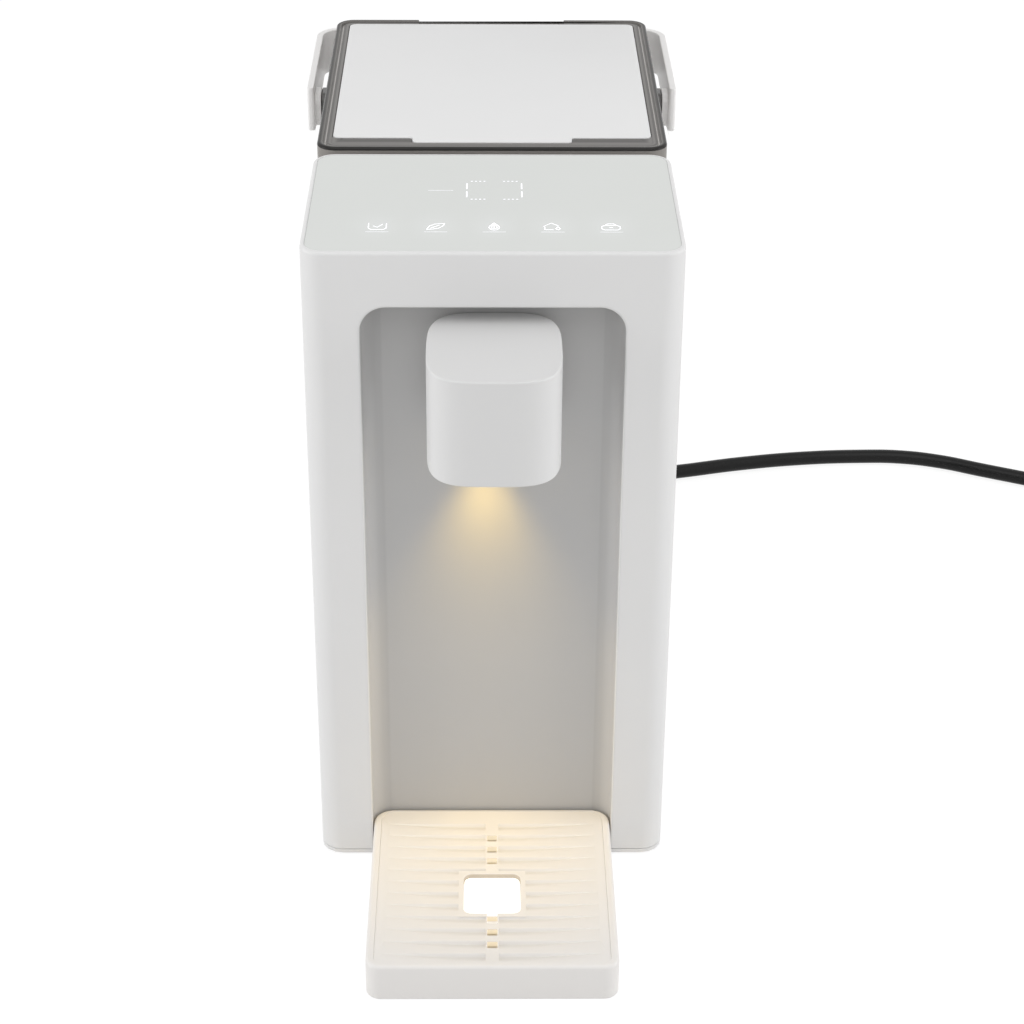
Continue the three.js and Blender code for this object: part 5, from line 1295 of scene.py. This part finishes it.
# Mains cord: one line from the boot over the floor to the coil and the plug
cord = {
    "diameter": 7.6,
    "inBoot": 7.0,
    "coilRadius": 49.6,
    "pitch": 8.4,
    "layerRise": 8.3,
    "spiralTurns": 1.25,
    "climbTurns": 0.5,
    "turnSteps": 24,
    "tail": 47.0,
    "route": [
        (50, 295.1, 16), (50, 301, 15.7), (51.5, 311, 13), (58.5, 321.5, 8), (74, 330, 4.6),
        (102.4, 337.4, 3.9), (137.9, 346.7, 3.9), (171.8, 352.9, 3.9), (205.4, 355.4, 3.9),
        (228, 354.6, 3.9), (249.5, 349, 3.9), (269.5, 339.8, 3.9), (290, 330.6, 3.9), (318, 318, 3.9),
        (338, 309, 3.9),
    ],
}
relief = {
    "radius": 6.4,
    "tipRadius": 5.0,
    "flangeRadius": 8.4,
    "flangeThickness": 2.0,
    "neckRadius": 6.9,
    "ribPitch": 2.7,
    "ribDepth": 0.75,
    "segments": 96,
}
plug = {
    "length": 37.0,
    "halfWidth": 17.5,
    "noseRadius": 6.2,
    "bootLength": 20.0,
    "tipRadius": 4.8,
    "ribs": 6,
    "ribPitch": 2.9,
    "ribDepth": 0.6,
    "pinRadius": 2.4,
    "pinLength": 19.0,
    "pinSpacing": 19.0,
    "sleeve": 10.0,
}


def cordLine():
    route = [Vector(p) for p in cord["route"]]
    heading = (route[-1] - route[-2]).normalized()
    start = route[-1] + heading * smallGap
    turnIn = start + heading * cord["diameter"]
    centre = turnIn + Vector((-heading.y, heading.x, 0)) * cord["coilRadius"]
    firstAngle = math.atan2(turnIn.y - centre.y, turnIn.x - centre.x)
    turns = cord["spiralTurns"] * 2 + cord["climbTurns"]
    steps = round(turns * cord["turnSteps"])
    line = [route[0] - Vector((0, cord["inBoot"], 0)), *route]
    for i in range(steps + 1):
        turn = turns * i / steps
        climbed = min(max((turn - cord["spiralTurns"]) / cord["climbTurns"], 0), 1)
        radius = cord["coilRadius"] - cord["pitch"] * min(turn, turns - turn)
        a = firstAngle + turn * 2 * math.pi
        line.append(Vector((centre.x + radius * math.cos(a), centre.y + radius * math.sin(a),
                            start.z + cord["layerRise"] * climbed)))
    end = line[-1]
    for reach in (cord["diameter"], cord["tail"] / 2, cord["tail"]):
        line.append(end + heading * reach)
    return line, heading


def plugBody(end, heading):
    tall, nose, tip, depth = end.z, plug["noseRadius"], plug["tipRadius"], plug["ribDepth"]
    toPlug = Matrix.Translation(end) @ Matrix.Rotation(math.atan2(heading.y, heading.x), 4, "Z")
    face, back, wide = smallGap + plug["length"], -plug["bootLength"], plug["halfWidth"]
    boot = [(back, tip - 0.5), (back + 0.6, tip - 0.1)]
    for i in range(plug["ribs"]):
        x, r = back + 2.2 + i * plug["ribPitch"], tip + (nose - tip) * i / plug["ribs"]
        boot += [(x, r), (x + 0.3, r - depth), (x + 1.1, r - depth), (x + 1.4, r + 0.1)]
    sections = [(x, r, r, r) for x, r in (*boot, (0, nose))]
    # From the nose to the face: place, half width, half height, corner radius
    sections += [(3, nose + 1.5, nose + 1.2, nose), (7, 12.5, 9.6, 6.5), (11.3, 16.2, 11.6, 6.2),
                 (14.5, wide, tall, 6), (21, wide - 0.5, tall - 0.5, 6), (28, wide, tall, 6),
                 (face - 1.2, wide, tall, 6), (face - 0.3, wide - 0.5, tall - 0.5, 5.5),
                 (face, wide - 1.2, tall - 1.2, 5)]
    made = []

    def fit(piece, slot, *replaced, angle=35):
        piece.data.transform(toPlug)
        made.append(dress(piece, "machine", slot, *replaced, angle=angle))
    rings = [(rectangle((-w, -h), (w, h), r - 0.001), x) for x, w, h, r in sections]
    fit(loft("plugBody", rings, "x"), "rubber_black", "mains_plug", angle=40)
    r, far, sleeveEnd = plug["pinRadius"], face + plug["pinLength"], face + plug["sleeve"]
    pin = [(r, face - 4), (r, far - 1.2), (r - 0.4, far - 0.5), (r - 1.1, far - 0.1), (0, far)]
    sleeve = [(r + 0.05, face - 1), (r + 0.05, sleeveEnd), (r - 0.3, sleeveEnd + 0.3)]
    for name, side, node in (("plugPinLeft", 1, "plug_pin_left"), ("plugPinRight", -1, "plug_pin_right")):
        place = (side * plug["pinSpacing"] / 2, 0)
        fit(turned(name, pin, place, "x", 36), "brass", node)
        fit(turned(name + "Sleeve", sleeve, place, "x", 36), "rubber_black")
    return made


def strainRelief():
    # Boot whose ribs follow a wave along its taper
    low, high = span("cord_bush")
    centre, wallBack = centreOf("cord_bush"), span("dock_housing")[1].y
    start = wallBack + smallGap + relief["flangeThickness"]
    length = high.y - start
    tree = Grower("strainRelief", {
        "Length": length, "Radius": relief["radius"], "Tip Radius": relief["tipRadius"],
        "Rib Pitch": relief["ribPitch"], "Rib Depth": relief["ribDepth"]})
    inputs = {"Vertices": 48, "Side Segments": relief["segments"], "Radius": 1.0,
              "Depth": tree.size("Length")}
    blank = tree.add("GeometryNodeMeshCylinder", None, inputs)
    x, y, z = tree.split(tree.add("GeometryNodeInputPosition"))
    share = z / tree.size("Length") + 0.5
    taper = tree.size("Radius") + (tree.size("Tip Radius") - tree.size("Radius")) * share
    wave = (z * 2 * math.pi / tree.size("Rib Pitch")).maths("SINE")
    dip = (wave * 4.0).maths("MINIMUM", 1.0).maths("MAXIMUM", 0.0)
    radius = taper - dip * tree.size("Rib Depth")
    boot = tree.grow(tree.press(blank, x * radius, y * radius, z), finishes["rubber_black"])
    place = Matrix.Translation((centre.x, start + length / 2, centre.z))
    boot.data.transform(place @ Matrix.Rotation(-math.pi / 2, 4, "X"))
    f, n = relief["flangeRadius"], relief["neckRadius"]
    inside, outside = wallBack - dock["wall"] - smallGap, wallBack + smallGap
    flanges = [(f - 0.4, low.y), (f, low.y + 0.4), (f, inside), (n, inside), (n, outside), (f, outside),
               (f, start - 0.8), (f - 0.3, start - 0.2), (f - 0.9, start),
               (relief["radius"] - 0.5, start + 0.2)]
    carve(boot, turned("flanges", flanges, (centre.x, centre.z), "y", 48), operation="UNION")
    dress(boot, "machine", "rubber_black", "cord_bush", angle=40)


def mainsCord():
    line, heading = cordLine()
    data = bpy.data.curves.new("mainsCord", "CURVE")
    data.dimensions, data.resolution_u, data.bevel_resolution, data.use_fill_caps = "3D", 6, 6, True
    data.bevel_depth = cord["diameter"] * mm / 2
    spline = data.splines.new("BEZIER")
    spline.bezier_points.add(len(line) - 1)
    for point, place in zip(spline.bezier_points, line):
        point.co = toFrame @ place
        point.handle_left_type = point.handle_right_type = "AUTO"
    data.materials.append(finishes["cord_black"])
    lead = newPiece("mainsCord", data)
    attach(lead, "machine")
    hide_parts("power_cord", "cord_coil")
    bpy.context.view_layer.update()
    parts = plugBody(line[-1], heading)
    strainRelief()


mainsCord()
print("cord, boot and plug made")

# Parts inside that show through the clear tank, and the soft tubes of the water path
spring = {"wire": 0.45, "curls": 6, "steps": 20, "travel": 3.0}
hose = {"radius": 6.4, "bore": 4.7, "steps": 8}


def valveSpring():
    low, high = span("valve_spring")
    wire, steps = spring["wire"], spring["steps"]
    centre, count = centreOf("valve_body"), spring["curls"] * steps
    bottom, top = low.z + wire, high.z - wire
    around = circle((high.x - low.x) / 2 - wire, centre, steps)
    line = [Vector((*around[i % steps], bottom + (top - bottom) * i / count)) for i in range(count + 1)]
    coil = tube("valveSpring", line, wire, sides=8)
    dress(coil, "tank", "steel", "valve_spring")
    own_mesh(coil)


hoses = {
    "hose_dock_to_pump": [(7.4, 152, 74.1), (7.4, 152, 65.4), (7.4, 152, 62.4), (2.9, 147.5, 36),
                          (-13.3, 137.6, 24), (-29.5, 147.5, 24), (-34, 165.5, 27), (-34, 176, 27),
                          (-34, 187.7, 27)],
    "hose_pump_to_heater": [(-47, 196, 46.3), (-47, 196, 55.9), (-47, 191.5, 63.9), (-47, 179.8, 67.5),
                            (-47, 149.25, 58.5), (-38, 102.5, 36), (-31, 80.25, 22.5), (-24, 62.5, 29.6),
                            (-24, 58, 41), (-24, 58, 52.7)],
    "hose_heater_to_chamber": [(-24, 58, 197.3), (-24, 58, 208), (-24, 58, 218.7)],
    "outlet_hose": [(0, 25.7, 234), (0, 17, 234), (0, -16, 234), (0, -23.7, 230.7), (0, -27, 223),
                    (0, -27, 210.6)],
}


def softHoses():
    for node, route in hoses.items():
        pipe = tube(node + "_soft", smoothLine(route, hose["steps"]), hose["radius"], hose["bore"], 24)
        dress(pipe, "machine", "silicone", node)


def softRing(name, node, body, width):
    low, high = span(node)
    half, tall, outer = width / 2, (high.z - low.z) / 2, (high.x - low.x) / 2
    profile = [(outer - half + a, low.z + tall + b * tall / half) for a, b in circle(half, sides=16)]
    dress(turned(name, profile, centreOf(node), loop=True), body, "silicone", node)


for build in (columnShell, controlPlate, litSigns, displayLines, recessLiner, dockShell):
    build()
print("column, dock and top plate made")
for build in (tankShell, lidPlate, lidFrame, lidSeal, carryHandle):
    build()
for side, name, node in ((-1, "pivotLeft", "handle_pivot_left"), (1, "pivotRight", "handle_pivot_right")):
    handlePivot(side, name, node)
print("tank, lid and handle made")
for build in (spoutPod, spoutCover, nozzleTip, lightLens, trayBody, dripGrille, rubberFeet, valveSpring,
              softHoses):
    build()
softRing("dockSeal", "dock_seal", "machine", 1.3)
softRing("valveSeal", "valve_seal", "plunger", 3.0)
print("spout, tray and feet made")


def dressNodes():
    # CAD nodes that stay get the finish of their slot
    slots = {part["node"]: part["material_slot"] for part in frame["record"]["subparts"]}
    for name, node in nodes.items():
        finish = finishes.get(slots[name])
        if finish and not node.hide_render:
            for place in node.material_slots:
                place.material = finish


dressNodes()

# Studio: pale floor, soft light from all round and above, white behind
studio = {
    "floorSize": 12.0,
    "floorWhite": 0.87,
    "floorShade": 0.2,
    "floorBounce": 0.82,
    "skyLevel": 0.625,
    "aim": (0, 0, 0.15),
    "keyPlace": (0.0, -0.7, 1.7),
    "keySize": 1.5,
    "keyPower": 7.2,
    "sidePlace": (1.5, -0.3, 0.5),
    "sideSize": 0.9,
    "sidePower": 6.3,
    "glowPower": 0.56,
    "glowColour": (1.0, 0.68, 0.16),
    "glowCone": 68.0,
    "glowSetback": 5.0,
    "glowAside": -3.4,
    "glowDrop": 0.5,
    "glowSize": 0.0075,
}


def emptyTree(owner):
    owner.use_nodes = True
    owner.node_tree.nodes.clear()
    return Tree(owner.node_tree)


def endTree(tree, kind, light, seen):
    # One shader for the light on the object, the other for what the camera sees straight, in gloss or
    # through clear plastic
    node = tree.add("ShaderNodeLightPath").socket.node
    rays = [Wire(tree, node.outputs[n]) for n in ("Is Camera Ray", "Is Glossy Ray", "Is Transmission Ray")]
    share = (rays[0] + rays[1] + rays[2]).maths("MINIMUM", 1.0)
    both = tree.add("ShaderNodeMixShader", None, {0: share, 1: light, 2: seen})
    tree.tree.links.new(both.socket, tree.tree.nodes.new(kind).inputs["Surface"])


def makeFloor():
    size = studio["floorSize"]
    mesh = bpy.data.meshes.new("floor")
    corners = [(-size, -size, 0), (size, -size, 0), (size, size, 0), (-size, size, 0)]
    mesh.from_pydata(corners, [], [(0, 1, 2, 3)])
    floor = newPiece("floor", mesh)
    material = bpy.data.materials.new("floorWhite")
    tree = emptyTree(material)
    matte = tree.add("ShaderNodeBsdfDiffuse", None, {"Color": grey(studio["floorBounce"])})
    faint = tree.add("ShaderNodeBsdfDiffuse", None, {"Color": grey(studio["floorShade"])})
    white = tree.add("ShaderNodeEmission", None, {"Color": grey(1.0), "Strength": studio["floorWhite"]})
    shown = tree.add("ShaderNodeAddShader", None, {0: faint, 1: white})
    endTree(tree, "ShaderNodeOutputMaterial", matte, shown)
    mesh.materials.append(material)


def makeSky():
    world = bpy.data.worlds.new("studio")
    tree = emptyTree(world)
    bpy.context.scene.world = world
    light, white = (tree.add("ShaderNodeBackground", None, {"Color": grey(1.0), "Strength": strength})
                    for strength in (studio["skyLevel"], 1.0))
    endTree(tree, "ShaderNodeOutputWorld", light, white)


def softbox(name, place, size, power):
    data = bpy.data.lights.new(name, "AREA")
    data.size, data.energy = size, power
    lamp = newPiece(name, data)
    lamp.location = place
    lamp.rotation_euler = (Vector(studio["aim"]) - lamp.location).to_track_quat("-Z", "Y").to_euler()


def makeLamps():
    x, y, z = studio["sidePlace"]
    softbox("key", studio["keyPlace"], studio["keySize"], studio["keyPower"])
    softbox("right", (x, y, z), studio["sideSize"], studio["sidePower"])
    softbox("left", (-x, y, z), studio["sideSize"], studio["sidePower"])
    # Warm light from the spout
    glow = bpy.data.lights.new("spoutGlow", "SPOT")
    glow.energy, glow.color = studio["glowPower"], studio["glowColour"]
    glow.shadow_soft_size = studio["glowSize"]
    glow.spot_size, glow.spot_blend = math.radians(studio["glowCone"]), 1.0
    place = Vector((studio["glowAside"], centreOf("led_module").y + studio["glowSetback"],
                    span("led_module")[0].z - studio["glowDrop"]))
    newPiece("spoutGlow", glow).location = toFrame @ place


makeFloor()
makeSky()
makeLamps()
bpy.context.scene.view_settings.view_transform = "Standard"
print("studio made")
